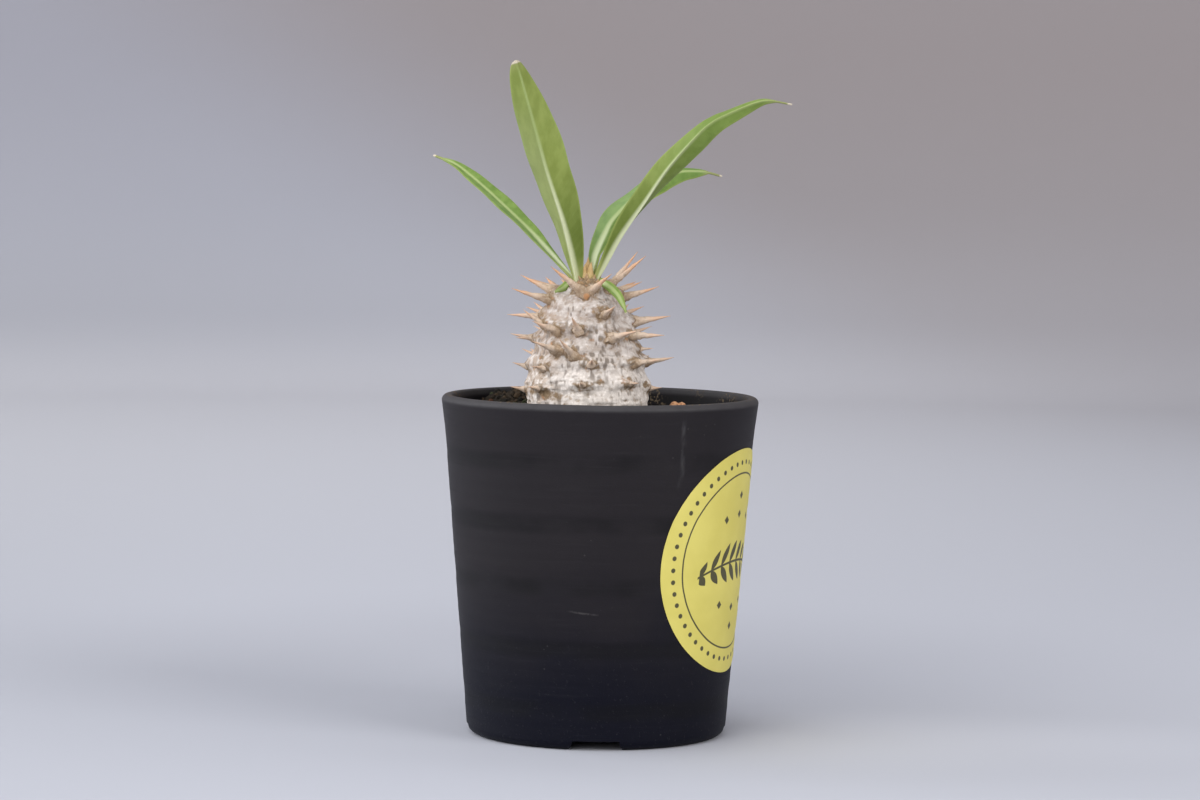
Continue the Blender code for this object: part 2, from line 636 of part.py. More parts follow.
def make_soil(collection):
    """Potting mix that fills the bore, with a plain hole where the trunk's stump stands."""
    rng = np.random.default_rng(SOIL_SEED)
    reach = bore_radius(SOIL_LEVEL) * np.sqrt(rng.uniform(0.1, 1.0, LUMP_COUNT))
    turn = rng.uniform(0.0, math.tau, LUMP_COUNT)
    lumps = np.stack([
        reach * np.cos(turn), reach * np.sin(turn),
        rng.uniform(*LUMP_RADIUS, LUMP_COUNT), rng.uniform(*LUMP_HEIGHT, LUMP_COUNT)], axis=-1)

    stump = [height for height, _ in TRUNK_PROFILE if height < SOIL_LEVEL - 1.0 * MM]
    stump[0] -= GAP
    hole = [circle(trunk_axis(h), trunk_radius(h) + GAP, h, SOIL_SIDES) for h in stump]
    heap_top = SOIL_LEVEL + HEAP_RISE
    inner = circle(trunk_axis(heap_top), trunk_radius(heap_top) + GAP, SOIL_LEVEL, SOIL_SIDES)
    outer = circle(0.0, bore_radius(SOIL_LEVEL) - GAP, SOIL_LEVEL, SOIL_SIDES)
    surface = []
    for share in np.linspace(0.0, 1.0, SOIL_RINGS):
        ring = inner + (outer - inner) * share
        ring[:, 2] = soil_height(ring[:, 0], ring[:, 1], lumps)
        surface.append(ring)
    rim = surface[-1]
    edge = (bore_radius(rim[:, 2]) - GAP)[:, None]
    rim[:, :2] *= edge / np.linalg.norm(rim[:, :2], axis=1, keepdims=True)
    low = FLOOR_TOP + FLOOR_FILLET
    foot = circle(0.0, bore_radius(low) - GAP, low, SOIL_SIDES)
    bed = circle(0.0, bore_radius(FLOOR_TOP) - FLOOR_FILLET - GAP, FLOOR_TOP + GAP, SOIL_SIDES)
    rings = np.array(hole + surface + [foot, bed])
    pit = (trunk_axis(stump[0]), 0.0, stump[0])
    soil = add_piece("soil", skin(rings, pit, (0.0, 0.0, FLOOR_TOP + GAP)), collection, "potting_soil")
    return soil


def make_granule(collection):
    """Rounded clay lump, a sphere with seeded dents, resting just clear of the soil."""
    rng = np.random.default_rng(GRANULE_SEED)
    mesh = bpy.data.meshes.new("granule")
    ball = bmesh.new()
    bmesh.ops.create_icosphere(ball, subdivisions=2, radius=1.0)
    for point in ball.verts:
        dent = 1.0 + rng.uniform(-GRANULE_ROUGHNESS, GRANULE_ROUGHNESS)
        point.co = Vector([dent * axis * size for axis, size in zip(point.co, GRANULE_HALF_SIZE)])
    x, y = GRANULE_PLACE
    floor = soil_height(np.array([x - GRANULE_HALF_SIZE[0]]), np.array([y]), [])[0]
    lowest = min(point.co.z for point in ball.verts)
    bmesh.ops.translate(ball, vec=(x, y, floor - lowest + GAP / 2), verts=ball.verts)
    ball.to_mesh(mesh)
    ball.free()
    return add_piece("loose_granule", mesh, collection, "clay_granule")


def build():
    clear_scene()
    plant = new_collection("potted_pachypodium")
    pot_cutters = new_collection("pot_cutters")
    spines = new_collection("spine_cones")
    leaf_cutters = new_collection("leaf_cutters")
    make_pot(plant, pot_cutters)
    make_label(plant)
    make_soil(plant)
    make_granule(plant)
    make_trunk(plant, spines)
    make_crown_cutter(leaf_cutters)
    for name in LEAVES:
        make_leaf(name, plant, leaf_cutters)


build()
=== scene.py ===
# %% [markdown]
# # A small thorny caudex plant in a tall nursery pot
#
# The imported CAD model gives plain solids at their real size. This lesson dresses them: each solid is
# replaced by a finer surface of the same form, worked out with numpy, and each surface gets a finish
# made of shader nodes. Lengths are metres, the pot's axis is the Z axis, its foot stands on Z = 0 and
# the front is -Y. An azimuth is an angle from the front, positive towards +X.

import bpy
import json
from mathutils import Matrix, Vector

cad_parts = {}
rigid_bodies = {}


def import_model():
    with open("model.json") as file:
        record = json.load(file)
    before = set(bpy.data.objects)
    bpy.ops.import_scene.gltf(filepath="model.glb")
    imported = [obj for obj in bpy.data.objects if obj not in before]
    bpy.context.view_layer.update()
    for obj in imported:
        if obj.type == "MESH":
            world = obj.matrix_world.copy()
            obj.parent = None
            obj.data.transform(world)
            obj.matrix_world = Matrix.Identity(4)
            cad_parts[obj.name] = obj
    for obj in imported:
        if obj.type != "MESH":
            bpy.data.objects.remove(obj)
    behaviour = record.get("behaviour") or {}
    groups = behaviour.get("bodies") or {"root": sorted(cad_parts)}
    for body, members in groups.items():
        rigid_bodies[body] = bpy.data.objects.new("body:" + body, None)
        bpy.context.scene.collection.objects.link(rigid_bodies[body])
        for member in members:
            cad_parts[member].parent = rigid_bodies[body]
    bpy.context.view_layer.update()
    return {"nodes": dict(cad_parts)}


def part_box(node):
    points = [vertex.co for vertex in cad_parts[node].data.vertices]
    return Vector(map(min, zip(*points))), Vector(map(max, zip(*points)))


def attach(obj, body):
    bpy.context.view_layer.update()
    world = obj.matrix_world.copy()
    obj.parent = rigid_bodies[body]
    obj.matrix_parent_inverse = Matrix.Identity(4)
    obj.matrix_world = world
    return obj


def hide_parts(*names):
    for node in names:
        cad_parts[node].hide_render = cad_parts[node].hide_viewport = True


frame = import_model()
print("nodes:", sorted(frame["nodes"]))

# %% [markdown]
# ## From arrays to meshes
#
# Every shape here is a stack of rings: row by row up or along the piece, column by column round it.
# A library of primitives could give spheres and tubes, but a formula on a grid gives the real form
# and keeps each measure in sight. Most rings go round an upright axis, so one function sets them out
# by radius, azimuth and height. Many alike bodies, such as spines, are one array with one more axis.

# %% Closed bodies from rings of points
import itertools
import json
import math

import bpy
import numpy as np
from mathutils import Matrix, Vector

MM = 0.001
SHARP_ANGLE = math.radians(50)


def into_scene(name, data):
    """A new object in the scene, made of a mesh, a lamp or a camera."""
    made = bpy.data.objects.new(name, data)
    bpy.context.scene.collection.objects.link(made)
    return made


def full_turn(count):
    """Even azimuths all the way round."""
    return np.arange(count) * math.tau / count


def round_axis(radius, azimuth, height, middle=0.0):
    """Points round an upright axis that stands at X = middle."""
    x = middle + radius * np.sin(azimuth)
    return np.stack(np.broadcast_arrays(x, -radius * np.cos(azimuth), height), axis=-1)


def grid_quads(rows, columns):
    """Corner numbers of each cell of a grid whose last column meets its first."""
    row, column = np.meshgrid(np.arange(rows - 1), np.arange(columns), indexing="ij")
    after = (column + 1) % columns
    low = row * columns
    high = low + columns
    return np.stack([low + column, low + after, high + after, high + column], axis=-1).reshape(-1, 4)


def signed_volume(points, triangles):
    """Volume inside the triangles, as a sum of tetrahedra from the origin: positive if they face out."""
    a, b, c = (points[triangles[:, corner]] for corner in range(3))
    return np.einsum("ij,ij->i", a, np.cross(b, c)).sum() / 6


def closed_bodies(name, rings, finish, slot, replaced=(), smooth=True, **values):
    """One piece of closed bodies. Rings are (bodies, rows, columns, 3), or without the first axis.

    Each row is joined to the next and each end is closed by a point at the middle of its last ring.
    Values are numbers for each point of the rings, kept as attributes that a finish can read.
    """
    rings = np.asarray(rings, dtype=float)
    rings = rings.reshape(-1, *rings.shape[-3:])
    bodies, rows, columns = rings.shape[:3]
    points = np.concatenate([rings.reshape(bodies, -1, 3), rings[:, [0, -1]].mean(axis=2)], axis=1)
    count = points.shape[1]
    column = np.arange(columns)
    after = (column + 1) % columns
    last = (rows - 1) * columns
    first_fan = np.stack([np.full(columns, count - 2), after, column], axis=-1)
    last_fan = np.stack([np.full(columns, count - 1), last + column, last + after], axis=-1)
    shift = np.arange(bodies)[:, None, None] * count
    quads = (grid_quads(rows, columns) + shift).reshape(-1, 4)
    fans = (np.concatenate([first_fan, last_fan]) + shift).reshape(-1, 3)
    points = points.reshape(-1, 3)
    triangles = np.concatenate([quads[:, [0, 1, 2]], quads[:, [0, 2, 3]], fans])
    if signed_volume(points, triangles) < 0:
        quads = quads[:, ::-1]
        fans = fans[:, ::-1]

    mesh = bpy.data.meshes.new(name)
    mesh.from_pydata(points, [], quads.tolist() + fans.tolist())
    for label, value in values.items():
        value = np.broadcast_to(value, rings.shape[:-1]).reshape(bodies, rows, columns)
        ends = value[:, [0, -1]].mean(axis=2)
        flat = np.concatenate([value.reshape(bodies, -1), ends], axis=1).ravel()
        mesh.attributes.new(label, "FLOAT", "POINT").data.foreach_set("value", flat.astype(np.float32))
    if smooth:
        mesh.shade_smooth()
        mesh.set_sharp_from_angle(angle=SHARP_ANGLE)
    mesh.materials.append(finish)
    piece = into_scene(name, mesh)
    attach(piece, "root")
    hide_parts(*replaced)
    print(f"{name}: {len(quads) * 2 + len(fans)} triangles")
    return piece


# %% [markdown]
# ## Curves and random relief
#
# A listed outline or midrib has few points, so a spline runs through them. Bark, soil and clay are
# rough at several scales: smooth random numbers on a lattice, blended between its corners, give one
# scale, and adding finer and weaker layers gives the rest. Everything random has a seed, so each run
# makes the same plant.

# %% Splines and noise
LATTICE = 32
NOISE_LAYERS = 3
STEPS_PER_SPAN = 16


def curve_through(points):
    """Catmull-Rom spline: each span's slopes come from the points before and after it."""
    points = np.array(points, dtype=float)
    padded = np.vstack([2 * points[0] - points[1], points, 2 * points[-1] - points[-2]])
    step = np.linspace(0.0, 1.0, STEPS_PER_SPAN, endpoint=False)[:, None]
    spans = []
    for before, start, end, after in zip(padded, padded[1:], padded[2:], padded[3:]):
        slope_in = (end - before) / 2
        slope_out = (after - start) / 2
        rise = 3 * (end - start) - 2 * slope_in - slope_out
        fall = 2 * (start - end) + slope_in + slope_out
        spans.append(start + slope_in * step + rise * step**2 + fall * step**3)
    return np.vstack(spans + [points[-1:]])


def evenly(points, count):
    """The same polyline with a number of points at even distances along it."""
    lengths = np.concatenate([[0.0], np.cumsum(np.linalg.norm(np.diff(points, axis=0), axis=1))])
    places = np.linspace(0.0, lengths[-1], count)
    return np.stack([np.interp(places, lengths, axis) for axis in points.T], axis=-1)


def lattice_noise(points, size, seed):
    """Smooth random numbers from -1 to 1: the eight lattice corners round a point, blended."""
    table = np.random.default_rng(seed).uniform(-1.0, 1.0, (LATTICE, LATTICE, LATTICE))
    place = np.asarray(points) / size
    corner = np.floor(place).astype(int)
    share = place - corner
    share = share * share * (3 - 2 * share)
    total = np.zeros(place.shape[:-1])
    for step in itertools.product((0, 1), repeat=3):
        weight = np.prod(np.where(step, share, 1 - share), axis=-1)
        index = (corner + step) % LATTICE
        total += weight * table[index[..., 0], index[..., 1], index[..., 2]]
    return total


def layered_noise(points, size, seed):
    """Noise at a size plus ever finer layers, each half as large and half as strong."""
    total = 0.0
    for layer in range(NOISE_LAYERS):
        total = total + lattice_noise(points, size / 2**layer, seed + layer) / 2**layer
    return total


def bell(offset, reach):
    """1 where there is no offset, falling to a third at the reach and to nothing far off."""
    return np.exp(-((offset / reach) ** 2))


def smooth_step(value, low, high):
    """0 below low, 1 above high, and an S-shaped rise between them."""
    share = np.clip((value - low) / (high - low), 0.0, 1.0)
    return share * share * (3 - 2 * share)


# %% [markdown]
# ## Writing finishes as formulas
#
# A finish is a network of shader nodes. Wiring it by hand hides the thought, so a small class wraps
# a node's output and turns Python arithmetic into Math nodes: a mask is then one readable line.
# Colours go through Mix nodes, laid over each other like coats of paint, and every other node comes
# from one method.

# %% A wire that does arithmetic, and a finish
class Wire:
    """A node's output in a finish. Arithmetic on it adds Math nodes."""

    def __init__(self, finish, socket):
        self.finish = finish
        self.socket = socket

    def __add__(self, other):
        return self.finish.math("ADD", self, other)

    def __sub__(self, other):
        return self.finish.math("SUBTRACT", self, other)

    def __rsub__(self, other):
        return self.finish.math("SUBTRACT", other, self)

    def __mul__(self, other):
        return self.finish.math("MULTIPLY", self, other)

    def __truediv__(self, other):
        return self.finish.math("DIVIDE", self, other)

    def __pow__(self, other):
        return self.finish.math("POWER", self, other)

    def __abs__(self):
        return self.finish.math("ABSOLUTE", self)

    __radd__ = __add__
    __rmul__ = __mul__

    def rise(self, low, high):
        """Smooth step from 0 at low to 1 at high. With low above high it falls instead."""
        ends = {"Value": self, "From Min": low, "From Max": high}
        return self.finish.node("ShaderNodeMapRange", {"interpolation_type": "SMOOTHSTEP"}, ends)

    def under(self, edge, blur):
        """1 where the value is under an edge and 0 above it, with a soft border."""
        return self.rise(edge + blur, edge - blur)


def distance(first, second):
    """How far a point is, from two wires at right angles."""
    return (first * first + second * second) ** 0.5


class Finish:
    """A named material with a Principled BSDF, built up node by node."""

    def __init__(self, name):
        self.material = bpy.data.materials.new(name)
        self.material.use_nodes = True
        self.tree = self.material.node_tree
        self.shader = self.tree.nodes["Principled BSDF"]

    def node(self, kind, settings, inputs, output=0):
        """A node of a kind: settings first, then a value or a wire for each input."""
        made = self.tree.nodes.new(kind)
        for name, value in settings.items():
            setattr(made, name, value)
        for key, value in inputs.items():
            self.put(made.inputs[key], value)
        return Wire(self, made.outputs[output])

    def math(self, operation, *inputs):
        """A Math node on wires and numbers."""
        return self.node("ShaderNodeMath", {"operation": operation}, dict(enumerate(inputs)))

    def put(self, socket, value):
        """Link a wire to a socket, or set the socket's own value."""
        if isinstance(value, Wire):
            self.tree.links.new(value.socket, socket)
        else:
            socket.default_value = value

    def paint(self, **inputs):
        """Values or wires for the Principled BSDF, with underscores for the spaces in its names."""
        for name, value in inputs.items():
            self.put(self.shader.inputs[name.replace("_", " ")], value)

    def value(self, name):
        """A number that the surface carries, by its name."""
        return self.node("ShaderNodeAttribute", {"attribute_name": name}, {}, "Fac")

    def place(self):
        """Object coordinates, in metres."""
        return self.node("ShaderNodeTexCoord", {}, {}, "Object")

    def axes(self):
        """The x, y and z of the place, each as a wire."""
        split = self.node("ShaderNodeSeparateXYZ", {}, {0: self.place()})
        sockets = split.socket.node.outputs
        return [Wire(self, socket) for socket in sockets]

    def noise(self, size, detail=3.0, stretch=(1.0, 1.0, 1.0)):
        """Noise from about 0.3 to 0.7 with features of a size, stretched along the axes."""
        scale = tuple(factor / size for factor in stretch)
        place = self.node("ShaderNodeMapping", {}, {"Vector": self.place(), "Scale": scale})
        return self.node("ShaderNodeTexNoise", {}, {"Vector": place, "Scale": 1.0, "Detail": detail})

    def cells(self, size):
        """Distance from the nearest of scattered points, in cells of a size."""
        scattered = {"Vector": self.place(), "Scale": 1.0 / size}
        return self.node("ShaderNodeTexVoronoi", {}, scattered, "Distance")

    def mix(self, share, start, end):
        """Colour that goes from start to end as share goes from 0 to 1."""
        start, end = (c if isinstance(c, Wire) else (*c, 1.0) for c in (start, end))
        return self.node("ShaderNodeMix", {"data_type": "RGBA"}, {0: share, 6: start, 7: end}, 2)

    def coats(self, colour, *coats):
        """A colour with others laid over it in turn, each as a share and a colour."""
        for share, over in coats:
            colour = self.mix(share, colour, over)
        return colour

    def bump(self, height, depth):
        """Normal of a relief, where a height of 1 stands a depth proud."""
        return self.node("ShaderNodeBump", {}, {"Height": height, "Distance": depth}, "Normal")


# %% [markdown]
# ## The pot
#
# A tall black nursery pot is moulded in one piece: a tapered wall about two millimetres thick, a lip
# that is a little thicker and rounded, a recessed floor with drain holes, and a foot ring with four
# drain notches. It is a solid of revolution, so one profile is carried round the axis. Moulding
# leaves faint rings up the wall, which are a small wave in the radius. A notch is a place where the
# foot's lowest points are lifted, so it needs no cutter, and only the drain holes are cut.

# %% Sizes of the pot
POT_HEIGHT = 96.2 * MM
RIM_RADIUS = 45.0 * MM
BASE_RADIUS = 36.76 * MM
RIM_FLARE = 0.27 * MM
FLARE_HEIGHT = 10.0 * MM
LIP_WIDTH = 3.0 * MM
LIP_OUTER_ROUNDING = 1.6 * MM
LIP_INNER_ROUNDING = 0.8 * MM
WALL = 2.2 * MM
FOOT_RECESS = 3.0 * MM
FLOOR_TOP = 5.0 * MM
FLOOR_FILLET = 1.5 * MM
FOOT_ROUNDING = 3.0 * MM
FOOT_INNER_RADIUS = 30.0 * MM
WALL_SLOPE = (RIM_RADIUS - RIM_FLARE - BASE_RADIUS) / POT_HEIGHT
NOTCH_WIDTH = 13.8 * MM
NOTCH_HEIGHT = 2.7 * MM
NOTCH_EDGE = 0.4 * MM
NOTCH_COUNT = 4
BAND_SPACING = 17.3 * MM
BAND_PHASE = 11.9 * MM
BAND_DEPTH = 0.10 * MM
BAND_SHARPNESS = 6
FINE_BAND_SPACING = 3.9 * MM
FINE_BAND_DEPTH = 0.02 * MM
BANDS_FROM = (4 * MM, 8 * MM)
BANDS_TO = (93 * MM, 88 * MM)


def wall_radius(height):
    """Straight taper from foot to rim."""
    return BASE_RADIUS + WALL_SLOPE * height


def moulded_bands(height):
    """Narrow shallow grooves at even heights, from a raised cosine, plus a finer, fainter wave."""
    turn = math.tau * (np.asarray(height) - BAND_PHASE) / BAND_SPACING
    groove = (0.5 + 0.5 * np.cos(turn)) ** BAND_SHARPNESS
    fine = np.cos(math.tau * np.asarray(height) / FINE_BAND_SPACING)
    fade = smooth_step(height, *BANDS_FROM) * smooth_step(height, *BANDS_TO)
    return fade * (FINE_BAND_DEPTH * fine - BAND_DEPTH * groove)


def bore_radius(height):
    """Inner radius, where the wall thickens from floor to lip."""
    ends = (wall_radius(FLOOR_TOP) - WALL, RIM_RADIUS - LIP_WIDTH)
    return np.interp(height, (FLOOR_TOP, POT_HEIGHT), ends)


def arc(centre_radius, centre_height, radius, start, end, count):
    """Points of a circular arc in the profile plane, between two angles in degrees."""
    angle = np.radians(np.linspace(start, end, count))
    return list(zip(centre_radius + radius * np.cos(angle), centre_height + radius * np.sin(angle)))


def fill_in(profile, step):
    """The profile with points added so that none are further apart than a step."""
    made = [np.array(profile[:1])]
    for start, end in zip(np.array(profile), np.array(profile[1:])):
        count = max(1, math.ceil(np.linalg.norm(end - start) / step))
        made.append(start + (end - start) * np.linspace(0, 1, count + 1)[1:, None])
    return np.vstack(made)


# %% [markdown]
# ## The pot's finish
#
# Black plastic is never one black. This pot is bluish and darker low down and warm grey near the rim,
# the lighter top in part painted light, and it has a smear, a scuff, specks and earthy crumbs inside
# the lip. Painted shade darkens its grooves and the inner wall under the lip, and a painted highlight
# lightens the rounded lip. An image would be tied to one view, so each mark is a mask worked out from
# height, turn and noise, and lays one thin coat.

# %% Lay the pot's coats
SMEAR_AZIMUTH = math.radians(30.5)
SMEAR_RADIUS = 43.5
SCUFF_HEIGHT = 38.8 * MM
CRUMBS_RIGHT = math.radians(72)
CRUMBS_LEFT = math.radians(-92)


def pot_finish():
    """Black plastic: warm grey-black above, partly painted light, and bluish black below, dusty low down,
    with a few marks, painted shade and a painted lip highlight.
    """
    pot = Finish("matt_black_plastic")
    x, y, z = pot.axes()
    azimuth = pot.math("ARCTAN2", x, 0.0 - y)
    cloudy = pot.noise(22 * MM)
    # Painted light in part: the colour grows lighter and warmer up the wall, partly standing for the light
    # on the upper wall
    upwards = (z + cloudy * (30 * MM)).rise(25 * MM, 70 * MM)
    base = pot.mix(upwards, (0.0008, 0.0012, 0.0062), (0.0130, 0.0112, 0.0136))
    # Painted shade: a darker coat lies in each moulded groove of the wall
    turn = (z - BAND_PHASE + cloudy * (2 * MM)) * (math.tau / BAND_SPACING)
    groove_shade = pot.math("COSINE", turn).rise(0.35, 1.0) * cloudy.rise(0.30, 0.55)
    streak = pot.noise(9 * MM, detail=5.0, stretch=(0.5, 0.5, 9.0)).rise(0.55, 0.72)

    from_smear = abs((azimuth - SMEAR_AZIMUTH) * SMEAR_RADIUS + (cloudy - 0.5) * 9.0)
    smear = from_smear.rise(1.3, 0.2) * z.rise(70 * MM, 80 * MM) * z.rise(94.5 * MM, 90 * MM)
    smear = smear * pot.noise(2.2 * MM, stretch=(1.0, 1.0, 0.35)).rise(0.38, 0.66)
    scuff = abs((z - SCUFF_HEIGHT) / MM + azimuth * 1.5 + (cloudy - 0.5) * 5.0).rise(0.35, 0.08)
    scuff = scuff * azimuth.rise(-0.22, -0.14) * azimuth.rise(0.04, -0.06)
    scuff = scuff * pot.noise(1.6 * MM).rise(0.40, 0.55)
    specks = pot.cells(2.9 * MM).rise(0.105, 0.05) * pot.noise(13 * MM).rise(0.50, 0.60)
    dust = pot.noise(0.9 * MM, detail=4.0).rise(0.60, 0.75) * z.rise(50 * MM, 4 * MM)

    inside = pot.value("inside")
    right_side = abs(azimuth - CRUMBS_RIGHT).rise(0.55, 0.25)
    left_side = abs(azimuth - CRUMBS_LEFT).rise(0.40, 0.20)
    patchy = pot.noise(9 * MM).rise(0.42, 0.58) + (right_side + left_side)
    crumbs = pot.noise(0.9 * MM, detail=4.0).rise(0.52, 0.64) * z.rise(84 * MM, 94.5 * MM) * inside
    crumbs = crumbs * pot.math("MINIMUM", patchy, 1.0)
    # Painted highlight: a lighter grey on the rounded lip stands for the overhead lamp's sheen
    wear_and_sheen = z.rise(94.0 * MM, 95.2 * MM) * (0.55 + pot.noise(4 * MM, detail=4.0) * 0.9)
    colour = pot.coats(
        base,
        (groove_shade * 0.5, (0.0009, 0.0011, 0.0020)),
        (streak * 0.025, (0.10, 0.10, 0.105)),
        (smear * 0.24, (0.12, 0.12, 0.125)),
        (scuff * 0.13 + specks * 0.09 + dust * 0.03, (0.26, 0.25, 0.24)),
        # Painted shade: the inner wall below the lip is painted darker
        (inside * z.rise(94.8 * MM, 93.5 * MM) * 0.6, (0.003, 0.003, 0.003)),
        (crumbs * 0.75, (0.22, 0.165, 0.105)),
        (wear_and_sheen * (1.0 - crumbs), (0.050, 0.048, 0.051)),
    )
    roughness = 0.47 + cloudy * 0.16 + streak * 0.06 + crumbs * 0.3
    grain = pot.noise(0.5 * MM, stretch=(1.0, 1.0, 2.5)) * 0.6 + streak * 0.15 + dust * 0.8
    pot.paint(Base_Color=colour, Roughness=roughness, Specular_IOR_Level=0.15)
    pot.paint(Normal=pot.bump(grain, 0.05 * MM))
    return pot.material


# %% Turn the pot
POT_COLUMNS = 288
POLE_RADIUS = 0.3 * MM
INSIDE_STEP = 4 * MM
WALL_STEP = 1 * MM
FOOT_STEP = 2.5 * MM
LIP_ROWS_INSIDE = 3


def pot_profile():
    """Rows of radius and height: inside from the middle, over the lip and down, then the foot."""
    fillet = FLOOR_TOP + FLOOR_FILLET
    bore_lip = RIM_RADIUS - LIP_WIDTH + LIP_INNER_ROUNDING
    inner = [(POLE_RADIUS, FLOOR_TOP), (bore_radius(FLOOR_TOP) - FLOOR_FILLET, FLOOR_TOP)]
    inner.append((bore_radius(fillet), fillet))
    inner += arc(bore_lip, POT_HEIGHT - LIP_INNER_ROUNDING, LIP_INNER_ROUNDING, 180, 90, 7)
    lip = (RIM_RADIUS - LIP_OUTER_ROUNDING, POT_HEIGHT - LIP_OUTER_ROUNDING)
    outer = arc(*lip, LIP_OUTER_ROUNDING, 90, 0, 10)
    outer.append((wall_radius(POT_HEIGHT - FLARE_HEIGHT), POT_HEIGHT - FLARE_HEIGHT))
    foot = arc(wall_radius(FOOT_ROUNDING) - FOOT_ROUNDING, FOOT_ROUNDING, FOOT_ROUNDING, 0, -90, 10)
    foot += [(FOOT_INNER_RADIUS, 0.0), (FOOT_INNER_RADIUS, FOOT_RECESS), (POLE_RADIUS, FOOT_RECESS)]
    inner_rows = fill_in(inner, INSIDE_STEP)
    outer_rows = fill_in([inner[-1], *outer, foot[0]], WALL_STEP)[1:]
    return inner_rows, outer_rows, fill_in(foot, FOOT_STEP)[1:]


def make_pot():
    """Profile carried round the axis + bands on the wall, with the foot lifted at each notch."""
    inner_rows, outer_rows, foot_rows = pot_profile()
    radius, height = np.vstack([inner_rows, outer_rows, foot_rows]).T
    rows = np.arange(len(radius))
    inside = (rows < len(inner_rows) + LIP_ROWS_INSIDE).astype(float)
    on_wall = (rows >= len(inner_rows)) & (rows < len(inner_rows) + len(outer_rows))
    radius = radius + np.where(on_wall, moulded_bands(height), 0.0)

    height, azimuth = np.meshgrid(height, full_turn(POT_COLUMNS), indexing="ij")
    radius = np.broadcast_to(radius[:, None], height.shape)
    quarter = math.tau / NOTCH_COUNT
    from_notch = radius * np.sin(np.abs((azimuth + quarter / 2) % quarter - quarter / 2))
    edges = (NOTCH_WIDTH / 2 + NOTCH_EDGE, NOTCH_WIDTH / 2 - NOTCH_EDGE)
    lift = NOTCH_HEIGHT * smooth_step(from_notch, *edges)
    height = np.where(radius > FOOT_INNER_RADIUS - MM, np.maximum(height, lift), height)
    rings = round_axis(radius, azimuth, height)
    return closed_bodies("pot_body", rings, pot_finish(), "black_plastic", ["pot"], inside=inside[:, None])


# %% Drill its drains
DRAIN_COUNT = 6
DRAIN_CIRCLE = 19.0 * MM
DRAIN_RADIUS = 3.5 * MM
MIDDLE_DRAIN_RADIUS = 5.0 * MM
DRILL_SIDES = 32


def drain_places():
    """Middle and radius of each hole in the floor: a large one in the middle and a ring round it."""
    turns = (np.arange(DRAIN_COUNT) + 0.5) * math.tau / DRAIN_COUNT
    ring = [(DRAIN_CIRCLE * math.sin(turn), DRAIN_CIRCLE * math.cos(turn), DRAIN_RADIUS) for turn in turns]
    return [(0.0, 0.0, MIDDLE_DRAIN_RADIUS), *ring]


def drill(piece, holes, low, high):
    """Upright round holes cut through a piece with a Boolean, then applied."""
    tools = bpy.data.collections.new("drills")
    bpy.context.scene.collection.children.link(tools)
    for number, (x, y, radius) in enumerate(holes):
        angle = full_turn(DRILL_SIDES)
        ring = np.stack([x + radius * np.cos(angle), y + radius * np.sin(angle), 0 * angle], axis=-1)
        bottom, top = (ring + (0, 0, level) for level in (low, high))
        corners = list(range(2 * DRILL_SIDES))
        ends = [corners[:DRILL_SIDES][::-1], corners[DRILL_SIDES:]]
        mesh = bpy.data.meshes.new("drill")
        mesh.from_pydata(np.vstack([bottom, top]), [], grid_quads(2, DRILL_SIDES).tolist() + ends)
        tools.objects.link(bpy.data.objects.new(f"drill_{number}", mesh))
    cut = piece.modifiers.new("drains", "BOOLEAN")
    cut.operand_type = "COLLECTION"
    cut.collection = tools
    cut.solver = "MANIFOLD"
    graph = bpy.context.evaluated_depsgraph_get()
    mesh = bpy.data.meshes.new_from_object(piece.evaluated_get(graph))
    piece.modifiers.clear()
    piece.data = mesh
    for tool in list(tools.objects):
        bpy.data.objects.remove(tool)
    bpy.data.collections.remove(tools)
    print(f"{piece.name}: {len(mesh.polygons)} faces after drilling")


pot = make_pot()
drill(pot, drain_places(), FOOT_RECESS - MM, FLOOR_TOP + MM)

# %% [markdown]
# ## The label
#
# The real one is a flat paper disc stuck round the wall. Paper bends but doesn't stretch, so each
# point of the flat disc keeps its distances: the wall unrolls to a flat sector round the cone's apex,
# and distance and angle from the apex give height and turn. Its print is drawn by formulas on the
# flat disc's own two coordinates, so it follows the bend: a ring of dots, a fine circle, a plain
# leafy sprig and a few diamonds.

# %% Wrap the label round the wall
LABEL_RADIUS = 31.8 * MM
LABEL_HEIGHT = 51.2 * MM
LABEL_AZIMUTH = 69.3
LABEL_FACE = 0.24 * MM
LABEL_BACK = 0.05 * MM
LABEL_EDGE_DROP = 0.06 * MM
FACE_RINGS = 40
BACK_RINGS = 12
LABEL_COLUMNS = 200


def wrapped(along, up, lift):
    """Place on the wall of a point of the flat disc, a small distance off the surface."""
    half_angle = math.atan(WALL_SLOPE)
    start = wall_radius(LABEL_HEIGHT) / math.sin(half_angle)
    from_apex = np.hypot(start + up, along)
    turn = math.radians(LABEL_AZIMUTH) + np.arctan2(along, start + up) / math.sin(half_angle)
    height = LABEL_HEIGHT + (from_apex - start) * math.cos(half_angle)
    reach = wall_radius(height) + moulded_bands(height) + lift
    return round_axis(reach, turn, height)


def make_label():
    """Polar grid on the flat disc: out over the printed face, round the edge and back underneath."""
    face, back = np.linspace(0.01, 1.0, FACE_RINGS), np.linspace(0.998, 0.01, BACK_RINGS)
    out = np.concatenate([face, back]) * LABEL_RADIUS
    lift = np.concatenate([np.full(FACE_RINGS, LABEL_FACE), np.full(BACK_RINGS, LABEL_BACK)])
    lift[FACE_RINGS - 1] -= LABEL_EDGE_DROP
    angle = full_turn(LABEL_COLUMNS)
    along = out[:, None] * np.cos(angle)
    up = out[:, None] * np.sin(angle)
    rings = wrapped(along, up, lift[:, None])
    return closed_bodies("label_disc", rings, label_finish(), "yellow_label", ["label"], along=along, up=up)


